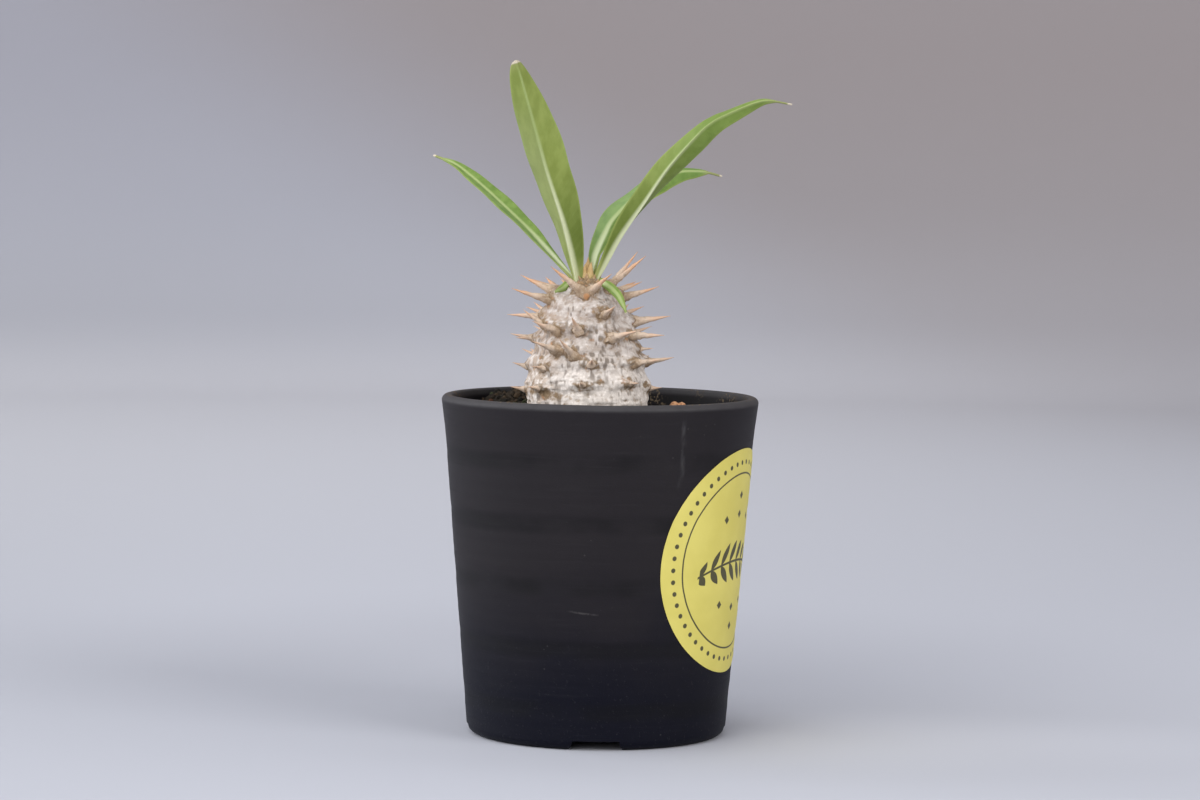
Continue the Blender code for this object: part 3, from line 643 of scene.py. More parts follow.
# %% Print the label
# Sizes on the flat disc, in millimetres
DOT_COUNT = 52
DOT_CIRCLE = 27.9
DOT_RADIUS = 0.68
THIN_CIRCLE = 24.8
THIN_HALF_WIDTH = 0.25
STEM_HALF_WIDTH = 0.34
SPRIG_HALF_LENGTH = 19.0
SPRIG_ARCH = 0.011
LEAFLET_PITCH = 4.6
LEAFLET_SLANT = math.radians(52)
LEAFLET_LENGTH = 7.4
LEAFLET_SHORTENING = 0.0125
LEAFLET_HALF_WIDTH = 1.15
DIAMOND_REACH = 1.2
DIAMONDS = ((0.0, 13.2), (8.2, 12.0), (0.0, 18.6))


def sprig_ink(paper, u, v):
    """An arched stem, and leaflets that lean out from it: 1 - share² across each one's length."""
    arch = v + u * u * SPRIG_ARCH
    stem = abs(arch).under(STEM_HALF_WIDTH, 0.08) * abs(u).under(SPRIG_HALF_LENGTH, 0.2)
    local = paper.math("FRACT", u / LEAFLET_PITCH) * LEAFLET_PITCH
    along = local * math.cos(LEAFLET_SLANT) + abs(arch) * math.sin(LEAFLET_SLANT)
    across = abs(arch) * math.cos(LEAFLET_SLANT) - local * math.sin(LEAFLET_SLANT)
    share = along / (LEAFLET_LENGTH - u * u * LEAFLET_SHORTENING) * 2 - 1
    inside = (1 - share * share) * LEAFLET_HALF_WIDTH - abs(across)
    leaflet = inside.rise(-0.08, 0.08) * abs(u).under(SPRIG_HALF_LENGTH - 0.6, 0.2)
    return paper.math("MAXIMUM", stem, leaflet)


def label_finish():
    """Yellow paper with a dark print. Every mark is a distance in the flat disc, in millimetres."""
    paper = Finish("yellow_paper")
    u = paper.value("along") / MM
    v = paper.value("up") / MM
    out = distance(u, v)
    turn = paper.math("ARCTAN2", v, u) * (DOT_COUNT / math.tau)
    sideways = (paper.math("FRACT", turn) - 0.5) * (math.tau * DOT_CIRCLE / DOT_COUNT)
    ink = distance(sideways, out - DOT_CIRCLE).under(DOT_RADIUS, 0.10)
    ink = paper.math("MAXIMUM", ink, abs(out - THIN_CIRCLE).under(THIN_HALF_WIDTH, 0.07))
    ink = paper.math("MAXIMUM", ink, sprig_ink(paper, u, v))
    for place_u, place_v in DIAMONDS:
        size = abs(abs(u) - place_u) + abs(abs(v) - place_v)
        ink = paper.math("MAXIMUM", ink, size.under(DIAMOND_REACH, 0.15))

    fibre = paper.noise(0.35 * MM, detail=4.0)
    cloudy = paper.noise(14 * MM)
    colour = paper.coats(
        paper.mix(cloudy.rise(0.3, 0.7), (0.615, 0.543, 0.115), (0.672, 0.600, 0.142)),
        (fibre.rise(0.5, 0.75) * 0.10, (0.60, 0.52, 0.10)),
        (out.rise(31.5, 32.2) * 0.5, (0.55, 0.50, 0.18)),
        (ink * (1.0 - fibre * 0.12), (0.026, 0.025, 0.013)),
    )
    paper.paint(Base_Color=colour, Roughness=0.50 + fibre * 0.12 - ink * 0.05)
    paper.paint(Normal=paper.bump(fibre * 0.5 + ink * 0.4, 0.02 * MM))
    return paper.material


make_label()

# %% [markdown]
# ## The soil
#
# A succulent mix is lava, bark and clay in grains of one to three millimetres, nearly black when old.
# A bumpy sheet alone would look like mud, so a dark bed fills the pot, and about two thousand small
# angular grains lie on it. They sit on a jittered honeycomb, which covers evenly without rows. Each
# has only a few dozen faces, and a random number of its own that the finish turns into a colour.
# The soil lies deep in the pot, but at the back left it is heaped up to the rim.

# %% The trunk's outline and the soil round it
SOIL_LEVEL = 87.9 * MM
HEAP_PLACE = (-22.0 * MM, 27.0 * MM)
HEAP_REACH = 17.0 * MM
HEAP_RISE = 6.7 * MM
TRUNK_PROFILE = np.array([
    (65.7, 11.9), (71.7, 14.2), (83.5, 16.6), (91.4, 17.1), (97.3, 17.1), (103.3, 16.5), (108.9, 15.0),
    (114.6, 13.0), (120.3, 11.3), (124.3, 9.1), (127.0, 6.5), (129.0, 3.0),
]) * MM
TRUNK_TOP = (129.6 * MM, 0.25 * MM)
TRUNK_AXIS = np.array([(65.7, -3.2), (96.3, -3.6), (120.1, -4.3), (129.9, -3.9)]) * MM
FIT = 0.3 * MM
SOIL_COLUMNS = 180
SOIL_RINGS = 50
BUMP_SIZE = 2.6 * MM
BUMP_HEIGHT = 0.5 * MM
TRUNK_CURVE = curve_through(TRUNK_PROFILE)


def trunk_radius(height):
    """Radius at a height, on the spline through the outline."""
    return np.interp(height, TRUNK_CURVE[:, 0], TRUNK_CURVE[:, 1])


def trunk_axis(height):
    """The trunk leans a little, so its axis moves sideways with height."""
    return np.interp(height, TRUNK_AXIS[:, 0], TRUNK_AXIS[:, 1])


def soil_level(x, y):
    """Level soil with a round heap, flat on top."""
    from_heap = np.hypot(x - HEAP_PLACE[0], y - HEAP_PLACE[1]) / HEAP_REACH
    return SOIL_LEVEL + HEAP_RISE * np.exp(-(from_heap**4))


def circle(centre_x, radius, height):
    """Level ring of points round a middle on the X axis."""
    return round_axis(radius, full_turn(SOIL_COLUMNS), height, centre_x)


def soil_finish():
    """Dark grains, each with a tone of its own: lava, bark, a little red clay, pumice and moss."""
    soil = Finish("granular_soil")
    tone = soil.value("tone")
    grain = soil.noise(0.4 * MM, detail=4.0)
    colour = soil.coats(
        soil.mix(tone.rise(0.10, 0.45), (0.008, 0.008, 0.007), (0.022, 0.016, 0.011)),
        (tone.rise(0.62, 0.74), (0.048, 0.032, 0.019)),
        (tone.rise(0.84, 0.85), (0.030, 0.036, 0.016)),
        (tone.rise(0.93, 0.94), (0.080, 0.036, 0.022)),
        (tone.rise(0.97, 0.975), (0.17, 0.13, 0.09)),
        (grain.rise(0.42, 0.70) * 0.35, (0.065, 0.052, 0.038)),
    )
    soil.paint(Base_Color=colour, Roughness=0.88 + grain * 0.1, Specular_IOR_Level=0.15)
    soil.paint(Normal=soil.bump(grain, 0.15 * MM))
    return soil.material


def make_soil_bed(finish):
    """Rings down the stump's hole, out over the bumpy top, and down inside the pot to its floor."""
    stump = [height for height in TRUNK_PROFILE[:, 0] if height < SOIL_LEVEL - MM]
    stump[0] -= FIT
    hole = [circle(trunk_axis(h), trunk_radius(h) + FIT, h) for h in stump]
    heap_top = SOIL_LEVEL + HEAP_RISE
    inner = circle(trunk_axis(heap_top), trunk_radius(heap_top) + FIT, SOIL_LEVEL)
    outer = circle(0.0, bore_radius(SOIL_LEVEL) - FIT, SOIL_LEVEL)
    share = np.linspace(0.0, 1.0, SOIL_RINGS)[:, None, None]
    top = inner + (outer - inner) * share
    bumps = layered_noise(top * (1, 1, 0), BUMP_SIZE, seed=31)
    top[..., 2] = soil_level(top[..., 0], top[..., 1]) + BUMP_HEIGHT * bumps
    widened = bore_radius(top[..., 2:]) / bore_radius(SOIL_LEVEL)
    top[..., :2] *= 1 + (widened - 1) * share**2
    low = FLOOR_TOP + FLOOR_FILLET
    foot = circle(0.0, bore_radius(low) - FIT, low)
    bed = circle(0.0, bore_radius(FLOOR_TOP) - FLOOR_FILLET - FIT, FLOOR_TOP + FIT)
    rings = np.concatenate([hole, top, [foot, bed]])
    tone = 0.3 + 0.3 * lattice_noise(rings, 1.2 * MM, seed=7)
    return closed_bodies("soil_bed", rings, finish, "potting_soil", ["soil"], tone=tone)


# %% Scatter the grains
GRAIN_SPACING = 1.55 * MM
LOOSE_PLACE = np.array([21.8 * MM, 4.0 * MM])
LOOSE_CLEARANCE = 3.4 * MM
WALL_CLEARANCE = 0.6 * MM
LEAST_CLEARANCE = 0.05 * MM
TRUNK_CLEARANCE = 0.7 * MM
GRAIN_JITTER = 0.42
EXTRA_ROWS = 8
GRAIN_RINGS = np.radians([14, 50, 90, 130, 166])
GRAIN_COLUMNS = 8
FLAKE_SHARE = 0.22
FLAKE_SHAPE = (1.5, 0.9, 0.4)


def scattered_places(rng):
    """Jittered honeycomb of places between the trunk and the wall, clear of the loose granule."""
    count = math.ceil(2 * RIM_RADIUS / GRAIN_SPACING)
    row, column = np.meshgrid(np.arange(count + EXTRA_ROWS), np.arange(count), indexing="ij")
    x = (column + 0.5 * (row % 2)) * GRAIN_SPACING - RIM_RADIUS
    y = row * GRAIN_SPACING * math.sqrt(0.75) - RIM_RADIUS
    places = np.stack([x.ravel(), y.ravel()], axis=-1)
    places += rng.uniform(-GRAIN_JITTER, GRAIN_JITTER, places.shape) * GRAIN_SPACING
    from_axis = np.linalg.norm(places, axis=1)
    from_trunk = np.linalg.norm(places - (trunk_axis(SOIL_LEVEL), 0.0), axis=1)
    from_loose = np.linalg.norm(places - LOOSE_PLACE, axis=1)
    kept = (from_axis < bore_radius(SOIL_LEVEL) - WALL_CLEARANCE) & (from_loose > LOOSE_CLEARANCE)
    return places[kept & (from_trunk > trunk_radius(SOIL_LEVEL) + TRUNK_CLEARANCE)]


def random_turns(rng, count):
    """Random rotation matrices, from unit quaternions."""
    turns = rng.normal(size=(4, count))
    w, x, y, z = turns / np.linalg.norm(turns, axis=0)
    return np.stack([
        1 - 2 * (y * y + z * z), 2 * (x * y - z * w), 2 * (x * z + y * w),
        2 * (x * y + z * w), 1 - 2 * (x * x + z * z), 2 * (y * z - x * w),
        2 * (x * z - y * w), 2 * (y * z + x * w), 1 - 2 * (x * x + y * y)], axis=-1).reshape(-1, 3, 3)


def make_grains(finish):
    """A five-ring ball, dented, stretched, turned and placed anew for every grain at once."""
    rng = np.random.default_rng(17)
    places = scattered_places(rng)
    count = len(places)
    polar, turn = np.meshgrid(GRAIN_RINGS, full_turn(GRAIN_COLUMNS), indexing="ij")
    ball = np.stack([np.sin(polar) * np.cos(turn), np.sin(polar) * np.sin(turn), np.cos(polar)], axis=-1)
    dents = rng.uniform(0.78, 1.12, (count, *polar.shape, 1))
    flat = rng.random(count) < FLAKE_SHARE
    size = rng.uniform(0.55, 1.0, count) + 0.9 * rng.random(count) ** 5
    stretch = rng.uniform(0.75, 1.15, (count, 3)) * np.where(flat[:, None], FLAKE_SHAPE, 0.95)
    bodies = ball * dents * (stretch * size[:, None] * MM)[:, None, None, :]
    bodies = np.einsum("nij,nrcj->nrci", random_turns(rng, count), bodies)
    level = soil_level(places[:, 0], places[:, 1]) + rng.uniform(-0.2, 0.55, count) * MM
    bodies += np.column_stack([places, level])[:, None, None, :]
    reach = np.linalg.norm(bodies[..., :2], axis=-1)
    limit = bore_radius(np.minimum(bodies[..., 2], POT_HEIGHT)) - LEAST_CLEARANCE
    bodies[..., :2] *= np.minimum(1.0, limit / reach)[..., None]
    tone = rng.random(count)[:, None, None]
    return closed_bodies("soil_grains", bodies, finish, "potting_soil", smooth=False, tone=tone)


granular = soil_finish()
make_soil_bed(granular)
make_grains(granular)

# %% [markdown]
# ## The loose clay granule
#
# One orange-brown granule of fired clay lies loose on the soil at the right. It is a ball whose
# radius is grooved into two lobes and roughened with noise. Its place and size come from its CAD node.

# %% Shape the granule
GRANULE_ROWS = 48
GRANULE_COLUMNS = 72
GROOVE_AT = 1.45
GROOVE_SPREAD = 0.28
GROOVE_SHARE = 0.20


def clay_finish():
    """Orange-brown clay, paler where it stands proud and in a few cloudy patches."""
    clay = Finish("fired_clay")
    pits = clay.noise(0.8 * MM, detail=5.0)
    colour = clay.mix(pits.rise(0.35, 0.62), (0.27, 0.115, 0.050), (0.56, 0.30, 0.155))
    colour = clay.mix(clay.noise(2.2 * MM).rise(0.52, 0.70) * 0.6, colour, (0.56, 0.36, 0.22))
    clay.paint(Base_Color=colour, Roughness=0.92, Normal=clay.bump(pits, 0.3 * MM))
    return clay.material


def make_granule():
    """Ball with radius 1 less a groove round its middle + noise, scaled to its CAD node."""
    low, high = (np.array(corner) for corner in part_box("loose_granule"))
    rows = np.linspace(0.02, math.pi - 0.02, GRANULE_ROWS)
    polar, turn = np.meshgrid(rows, full_turn(GRANULE_COLUMNS), indexing="ij")
    ball = np.stack([np.cos(polar), np.sin(polar) * np.cos(turn), np.sin(polar) * np.sin(turn)], axis=-1)
    groove = GROOVE_SHARE * bell(polar - GROOVE_AT, GROOVE_SPREAD)
    radius = 0.96 - groove + 0.05 * np.cos(polar) + 0.05 * layered_noise(ball + 5, 0.6, seed=41)
    rings = (low + high) / 2 + ball * radius[..., None] * (high - low) / 2
    return closed_bodies("clay_granule", rings, clay_finish(), "clay_granule", ["loose_granule"])


make_granule()

# %% [markdown]
# ## The trunk
#
# The swollen stem stores water. Its bark is silvery and rough, and every fallen leaf leaves a raised
# ledge, a tubercle, with a pair of spines and brown felt under it. Sculpting by hand would give the
# same, but a formula keeps ledges and spines together: the relief at a point is the highest of the
# ledges that reach it, steep below and gentle above, plus wrinkles, lumps and small pits.

# %% Where the spines grow
# Areoles that show from the front: azimuth, height, and each spine's length, rise above the
# horizontal and swing sideways from straight out. Round the back the rows go on by a rule.
FRONT_AREOLES = (
    (-97, 125.6, ((10.6, 25, 0),)),
    (-76, 123.6, ((11.0, 15, -4),)),
    (-12, 126.3, ((11.4, 36, -55),)),
    (9, 126.4, ((9.0, 32, 36),)),
    (50, 127.2, ((13.4, 49, 16), (14.3, 39, 19))),
    (85, 124.4, ((10.3, 17, 0),)),
    (-62, 116.6, ((7.1, 35, -10),)),
    (-88, 118.4, ((9.0, 3, 0),)),
    (-38, 115.2, ((8.4, 18, -14),)),
    (-9, 115.5, ((6.4, 34, -11),)),
    (24, 119.9, ((6.0, 22, 6),)),
    (86, 117.3, ((10.3, 10, 0),)),
    (30, 113.2, ((8.9, 15, 24),)),
    (66, 113.9, ((8.7, 0, 12),)),
    (-90, 112.2, ((6.4, 11, 0), (5.2, 2, 24))),
    (-32, 109.8, ((8.6, 17, -22),)),
    (-14, 108.8, ((7.5, 35, -22),)),
    (76, 109.7, ((3.2, 5, 0),)),
    (54, 106.1, ((8.0, 9, 6),)),
    (84, 106.1, ((7.6, 10, 0),)),
    (-85, 104.4, ((3.6, 15, 0),)),
    (-46, 104.5, ((3.4, 10, -14), (3.2, 10, 14))),
    (4, 106.0, ((4.4, 20, 0),)),
    (-4, 100.3, ((3.2, 12, -8),)),
    (42, 100.5, ((3.0, 5, 10),)),
    (-50, 98.8, ((3.4, 8, 0),)),
    (-82, 97.9, ((3.6, 10, 0),)),
    (82, 98.6, ((2.8, 5, 0),)),
)
# Rows round the back: height, spine length and first azimuth
BACK_ROWS = ((125.2, 11.0, 134), (118.3, 9.6, 141), (112.2, 8.4, 134), (105.6, 7.0, 141), (98.9, 3.6, 134))
BACK_AREOLES = 4
BACK_SPACING = 30.0
BACK_RISE = 18.0
BACK_JITTER = 5.0
HEIGHT_JITTER = 0.7
BACK_SPLAY = 15.0


def all_areoles():
    """The areoles at the front, and four more in each row round the back, each with a pair of spines."""
    rng = np.random.default_rng(11)
    places = list(FRONT_AREOLES)
    for height, length, first in BACK_ROWS:
        for number in range(BACK_AREOLES):
            azimuth = first + number * BACK_SPACING + rng.uniform(-BACK_JITTER, BACK_JITTER)
            lift = rng.uniform(-HEIGHT_JITTER, HEIGHT_JITTER)
            pair = []
            for side in (-1, 1):
                rise = BACK_RISE + rng.uniform(-BACK_JITTER, BACK_JITTER)
                pair.append((length * rng.uniform(0.85, 1.05), rise, side * BACK_SPLAY))
            places.append((azimuth, height + lift, tuple(pair)))
    return places


AREOLES = all_areoles()
print(len(AREOLES), "areoles,", sum(len(group) for _, _, group in AREOLES), "spines")

# %% [markdown]
# ## The bark's finish
#
# Close up the bark is pale silver, with dark pits, a brown stain here and there and rusty felt under
# the spines. Low down it is painted whiter, painted light where the pot's rim shades it, and the crests
# of its tiers get a painted highlight. The relief already knows where its pits, crests and felt are,
# so it hands them on as attributes. That keeps colour and shape together better than a second
# pattern could.

# %% Lay the bark's coats
def bark_finish():
    """Silvery bark, darker in pits and wrinkles, with painted light low down and on tier crests, brown and
    felted at the areoles and the crown.
    """
    bark = Finish("silvery_bark")
    x, _, z = bark.axes()
    felt = bark.value("felt")
    hollow = bark.value("hollow")
    lumps = bark.noise(1.9 * MM, detail=5.0)
    fine = bark.noise(0.42 * MM, detail=5.0)
    stained = bark.noise(1.3 * MM, detail=4.0).rise(0.56, 0.70) * bark.noise(6.0 * MM).rise(0.44, 0.60)
    silver = bark.coats(
        bark.mix(lumps.rise(0.34, 0.64), (0.385, 0.325, 0.284), (0.610, 0.562, 0.532)),
        # Painted highlight: a paler coat on the crests of the tiers
        (bark.value("crest") * 0.45, (0.74, 0.70, 0.66)),
        # Painted light: the bark is painted whiter low down, near the rim, where the pot shades it
        (z.rise(113 * MM, 99 * MM) * 0.90, (0.86, 0.805, 0.755)),
        (x.rise(-8 * MM, -18 * MM) * lumps.rise(0.66, 0.40) * 0.75, (0.42, 0.31, 0.23)),
        (bark.cells(0.95 * MM).rise(0.30, 0.55) * 0.22, (0.27, 0.22, 0.175)),
        (hollow.rise(0.02, 0.90) * 0.86, (0.18, 0.148, 0.120)),
        (fine.rise(0.56, 0.72) * 0.30, (0.24, 0.195, 0.155)),
        (stained * 0.62, (0.33, 0.225, 0.130)),
    )
    rust = bark.noise(2.6 * MM, detail=4.0).rise(0.56, 0.70)
    brown = bark.mix(rust, (0.19, 0.125, 0.068), (0.38, 0.18, 0.080))
    brown = bark.mix(fine.rise(0.40, 0.62) * 0.45, brown, (0.35, 0.25, 0.145))
    ragged = bark.noise(1.4 * MM, detail=5.0)
    colour = bark.coats(
        silver,
        ((felt + (ragged - 0.5) * 2.2).rise(0.12, 0.75) * 0.94, brown),
        (felt.rise(0.70, 1.1) * ragged.rise(0.60, 0.42) * 0.6, (0.11, 0.072, 0.032)),
        (felt.rise(1.25, 1.45) * 0.9, (0.46, 0.20, 0.075)),
    )
    bark.paint(Base_Color=colour, Roughness=0.82 + felt * 0.12, Specular_IOR_Level=0.3)
    bark.paint(Normal=bark.bump(lumps * 0.5 + fine * 0.5 - hollow * 0.3, 0.30 * MM))
    return bark.material


# %% Ledges and felt
LEDGE_HEIGHT = 2.3 * MM
LEDGE_HALF_WIDTH = 3.7 * MM
LEDGE_ABOVE = 2.4 * MM
LEDGE_BELOW = 1.2 * MM
FELT_HALF_WIDTH = 2.9 * MM
FELT_HALF_HEIGHT = 1.8 * MM
FELT_DROP = 0.5 * MM
# Patches of felt between the areoles: azimuth, height, half width, half height, strength
FELT_PATCHES = (
    (-44, 97.3, 3.2, 1.9, 1.0),
    (-62, 98.0, 2.4, 1.4, 0.8),
    (-30, 96.6, 2.0, 1.2, 0.8),
    (13, 100.7, 1.3, 0.9, 0.8),
    (42, 101.1, 2.4, 1.6, 0.6),
    (72, 99.8, 1.8, 1.0, 0.9),
    (-2, 124.4, 1.2, 1.0, 1.5),
    (19, 120.3, 2.6, 1.4, 0.8),
    (-53, 107.1, 1.5, 0.8, 0.8),
    (71, 110.3, 1.2, 0.9, 0.8),
)


def around(azimuth, centre, radius):
    """Distance round the trunk from a centre azimuth in degrees."""
    return ((azimuth - math.radians(centre) + math.pi) % math.tau - math.pi) * radius


def ledges(azimuth, height):
    """Two fields: how far the tubercles raise the bark, and where felt lies under their spines."""
    raised = np.zeros(azimuth.shape)
    felt = np.zeros(azimuth.shape)
    radius = trunk_radius(height)
    for centre, level, group in AREOLES:
        across = around(azimuth, centre, radius)
        above = height - level * MM
        share = min(1.0, 0.45 + group[0][0] / 16.0)
        spread = np.where(above > 0, LEDGE_ABOVE, LEDGE_BELOW)
        shape = np.exp(-((across / LEDGE_HALF_WIDTH) ** 2) - (above / spread) ** 2)
        raised = np.maximum(raised, share * LEDGE_HEIGHT * shape)
        patch = np.exp(-((across / FELT_HALF_WIDTH) ** 2) - ((above + FELT_DROP) / FELT_HALF_HEIGHT) ** 2)
        felt = np.maximum(felt, (0.35 + 0.65 * share) * patch)
    for centre, level, half_wide, half_high, strength in FELT_PATCHES:
        across = around(azimuth, centre, radius) / (half_wide * MM)
        above = (height - level * MM) / (half_high * MM)
        felt = np.maximum(felt, strength * np.exp(-((across**2 + above**2) ** 1.5)))
    return raised, felt


# %% Raise the trunk's relief
BARK_FROM = 85.5 * MM
CROWN = (124.8 * MM, 127.4 * MM)
TIER_SPACING = 5.3 * MM
WORN_AZIMUTH = 12
WORN_HEIGHT = 110 * MM
WORN_REACH = 8 * MM
TRUNK_COLUMNS = 380
STUMP_ROWS = 12
BARK_ROWS = 172


def trunk_surface():
    """Outline carried round the leaning axis: its points and normals, and turn, height and radius."""
    outline = np.vstack([TRUNK_CURVE, [TRUNK_TOP]])
    below = outline[outline[:, 0] <= BARK_FROM]
    above = outline[outline[:, 0] > BARK_FROM]
    profile = np.vstack([evenly(below, STUMP_ROWS), evenly(above, BARK_ROWS)])
    height, azimuth = np.meshgrid(profile[:, 0], full_turn(TRUNK_COLUMNS), indexing="ij")
    radius = np.broadcast_to(profile[:, 1][:, None], height.shape)
    points = round_axis(radius, azimuth, height, trunk_axis(height))
    slope = np.gradient(profile, axis=0)
    slope /= np.linalg.norm(slope, axis=1, keepdims=True)
    normals = round_axis(slope[:, :1], azimuth, -slope[:, 1:])
    return points, normals, azimuth, height, radius


def make_trunk():
    """Plain surface + its normals times ledges, wrinkles, tiers and lumps, less the pits."""
    plain, normals, azimuth, height, radius = trunk_surface()
    raised, felt = ledges(azimuth, height)
    crown = smooth_step(height, *CROWN)
    wrinkles = layered_noise(plain * (1.0, 1.0, 3.2), 3.4 * MM, seed=3)
    lumps = layered_noise(plain, 1.5 * MM, seed=13)
    shag = layered_noise(plain * (1.0, 1.0, 0.5), 0.9 * MM, seed=19)
    tiers = np.cos(math.tau * height / TIER_SPACING + wrinkles)
    pits = smooth_step(lattice_noise(plain * (1.0, 1.0, 0.42), 0.66 * MM, seed=23), -0.05, 0.75)
    pitted = 0.7 * smooth_step(lattice_noise(plain, 7.0 * MM, seed=29), -0.5, 0.45)
    sideways = around(azimuth, WORN_AZIMUTH, radius) / WORN_REACH
    from_worn = np.hypot(sideways, (height - WORN_HEIGHT) / WORN_REACH)
    pitted = np.maximum(pitted, 1.2 * np.exp(-(from_worn**2)))
    hollow = pits * (0.35 + 0.65 * pitted) * (1 - crown) + smooth_step(-wrinkles, 0.45, 1.1) * 0.5
    bare = smooth_step(height, BARK_FROM, BARK_FROM + 2 * MM)
    rough = 0.18 * wrinkles + 0.20 * tiers + 0.12 * lumps - 0.16 * hollow
    relief = raised * (1 - 0.6 * crown) + bare * MM * (rough * (1 - 0.5 * crown) + 0.45 * crown * shag)
    rings = plain + normals * relief[..., None]
    felt = np.maximum(felt, 0.95 * crown * (0.75 + 0.25 * lumps))
    # Painted highlight mask: the crests of the tiers, in patches
    crest = smooth_step(tiers, 0.55, 1.0) * smooth_step(lattice_noise(plain, 4.0 * MM, seed=37), -0.2, 0.4)
    return closed_bodies(
        "trunk_bark", rings, bark_finish(), "pale_bark", ["trunk"],
        felt=felt, hollow=np.clip(hollow, 0, 1), crest=crest)


make_trunk()

# %% [markdown]
# ## Spines and bud
#
# A pachypodium's spines are hardened stipules: thick, felted and grey at the root, smooth and reddish
# towards a fine tip. Each is a tapering tube along a slightly bent line, and all are one mesh. The
# growing bud between the leaves is made of a few small pointed scales in the same way.

# %% Lay the spines' coats
SCAR_SIDE = -4.2 * MM
SCAR_HEIGHT = 124.6 * MM


def spine_finish():
    """Brown felt at the root, then beige, then reddish tan towards the tip, with one orange scar."""
    spine = Finish("spine_horn")
    x, y, z = spine.axes()
    along = spine.value("along")
    fine = spine.noise(0.5 * MM, detail=4.0)
    place = along + (fine - 0.5) * 0.25 + (spine.value("tone") - 0.5) * 0.15
    old = z.rise(123.5 * MM, 116.5 * MM) * place.rise(0.15, 0.45)
    # Wear: dark brown patches on the lower part of each spine
    wear_and_sheen = spine.noise(1.0 * MM, detail=5.0).rise(0.54, 0.66) * place.rise(0.75, 0.35)
    scar = distance(x - SCAR_SIDE, z - SCAR_HEIGHT).rise(1.2 * MM, 0.6 * MM) * y.rise(-5 * MM, -8 * MM)
    colour = spine.coats(
        spine.mix(place.rise(0.18, 0.50), (0.33, 0.235, 0.150), (0.56, 0.425, 0.315)),
        (place.rise(0.48, 0.78), (0.62, 0.345, 0.190)),
        (place.rise(0.84, 1.0) * 0.5, (0.52, 0.25, 0.13)),
        (old * 0.45, (0.64, 0.53, 0.43)),
        (fine.rise(0.50, 0.68) * 0.40, (0.64, 0.55, 0.45)),
        (wear_and_sheen * 0.6, (0.20, 0.135, 0.080)),
        (scar * 0.8, (0.52, 0.25, 0.10)),
    )
    spine.paint(Base_Color=colour, Roughness=0.80 - along * 0.30, Normal=spine.bump(fine, 0.12 * MM))
    return spine.material


# %% Grow the spines
TUBE_TAPER = 0.85
TUBE_TIP = 0.06
FLARE_SPREAD = 0.16
SPINE_ROOT = 2.6 * MM
SPINE_FOOT = 1.5 * MM
SPINE_RADIUS = 1.65 * MM
SPINE_FLATNESS = 0.85
SPINE_FLARE = 0.50
SPINE_ROWS = 26
SPINE_COLUMNS = 14
UNEVEN_SIZE = 1.1 * MM


def tapered_tubes(start, way, bend, length, radius, flat, rows, columns, flare=0.0, flare_at=0.0):
    """Tubes along start + way s + bend s², with a radius that shrinks as (1 - s) to a power.

    A flare widens each round one place near its root, like the foot of a tree.
    """
    share = np.linspace(0.0, 1.0, rows)[None, :, None]
    line = start[:, None] + (way[:, None] * share + bend[:, None] * share**2) * length[:, None, None]
    side = np.cross(way, (0.0, 0.0, 1.0))
    side /= np.linalg.norm(side, axis=1, keepdims=True)
    rise = np.cross(side, way)
    angle = full_turn(columns)
    ring = side[:, None] * np.cos(angle)[:, None] + rise[:, None] * np.sin(angle)[:, None] * flat
    wide = 1 + flare * bell(share - flare_at, FLARE_SPREAD)
    size = radius[:, None, None] * np.maximum((1 - share) ** TUBE_TAPER, TUBE_TIP) * wide
    return line[:, :, None, :] + ring[:, None] * size[..., None]


def uneven(rings, strength, seed):
    """Rings with each point moved towards or away from its ring's middle by noise."""
    middle = rings.mean(axis=2, keepdims=True)
    return middle + (rings - middle) * (1 + strength * layered_noise(rings, UNEVEN_SIZE, seed)[..., None])


def make_spines():
    """From inside the bark, outwards at each spine's own heading and rise."""
    rng = np.random.default_rng(5)
    rows = [(a, h, *spine) for a, h, group in AREOLES for spine in group]
    azimuth, level, length, rise, swing = np.array(rows, dtype=float).T
    height = level * MM
    turn, heading, climb = np.radians(azimuth), np.radians(azimuth + swing), np.radians(rise)
    reach = trunk_radius(height) + SPINE_FOOT
    foot = round_axis(reach, turn, height, trunk_axis(height))
    way = round_axis(np.cos(climb), heading, np.sin(climb))
    whole_length = length * MM + SPINE_ROOT
    stout = 0.45 + 0.55 * np.minimum(1.0, length / 10.0)
    radius = SPINE_RADIUS * stout * rng.uniform(0.92, 1.06, len(length))
    bend = rng.uniform(-0.05, 0.05, (len(length), 3)) + (0, 0, 0.02)
    surface = (SPINE_ROOT / whole_length)[:, None, None]
    rings = tapered_tubes(
        foot - way * SPINE_ROOT, way - bend, bend, whole_length, radius, SPINE_FLATNESS,
        SPINE_ROWS, SPINE_COLUMNS, SPINE_FLARE, surface - 0.08)
    share = np.linspace(0, 1, SPINE_ROWS)[None, :, None]
    rings = uneven(rings, 0.34 * (1 - share[..., None] * 0.6), seed=61)
    tone = rng.random(len(length))[:, None, None]
    return closed_bodies("spines", rings, spine_finish(), "pale_bark", along=share, tone=tone)


make_spines()


# %% Set the bud in the crown
# The bud's scales, in millimetres: root, tip and radius
BUD_SCALES = (
    ((-4.3, -0.3, 127.6), (-3.9, -0.6, 135.4), 2.3),
    ((-3.4, -1.3, 127.4), (-3.1, -1.9, 134.0), 2.0),
    ((-5.0, -1.1, 127.4), (-4.8, -1.8, 133.4), 1.7),
    ((-4.6, 0.9, 127.8), (-4.6, 1.4, 133.7), 1.5),
    ((-3.5, 0.3, 127.9), (-2.9, 0.6, 134.0), 1.5),
)
# Rings of brown scales round it: distance from its middle, height, rise and number
SCALE_RINGS = ((2.8, 128.0, 2.6, 9), (4.9, 127.2, 2.0, 15))
BUD_SIDE = -3.9
SCALE_ROWS = 18
SCALE_COLUMNS = 12
SCALE_FLATNESS = 0.7


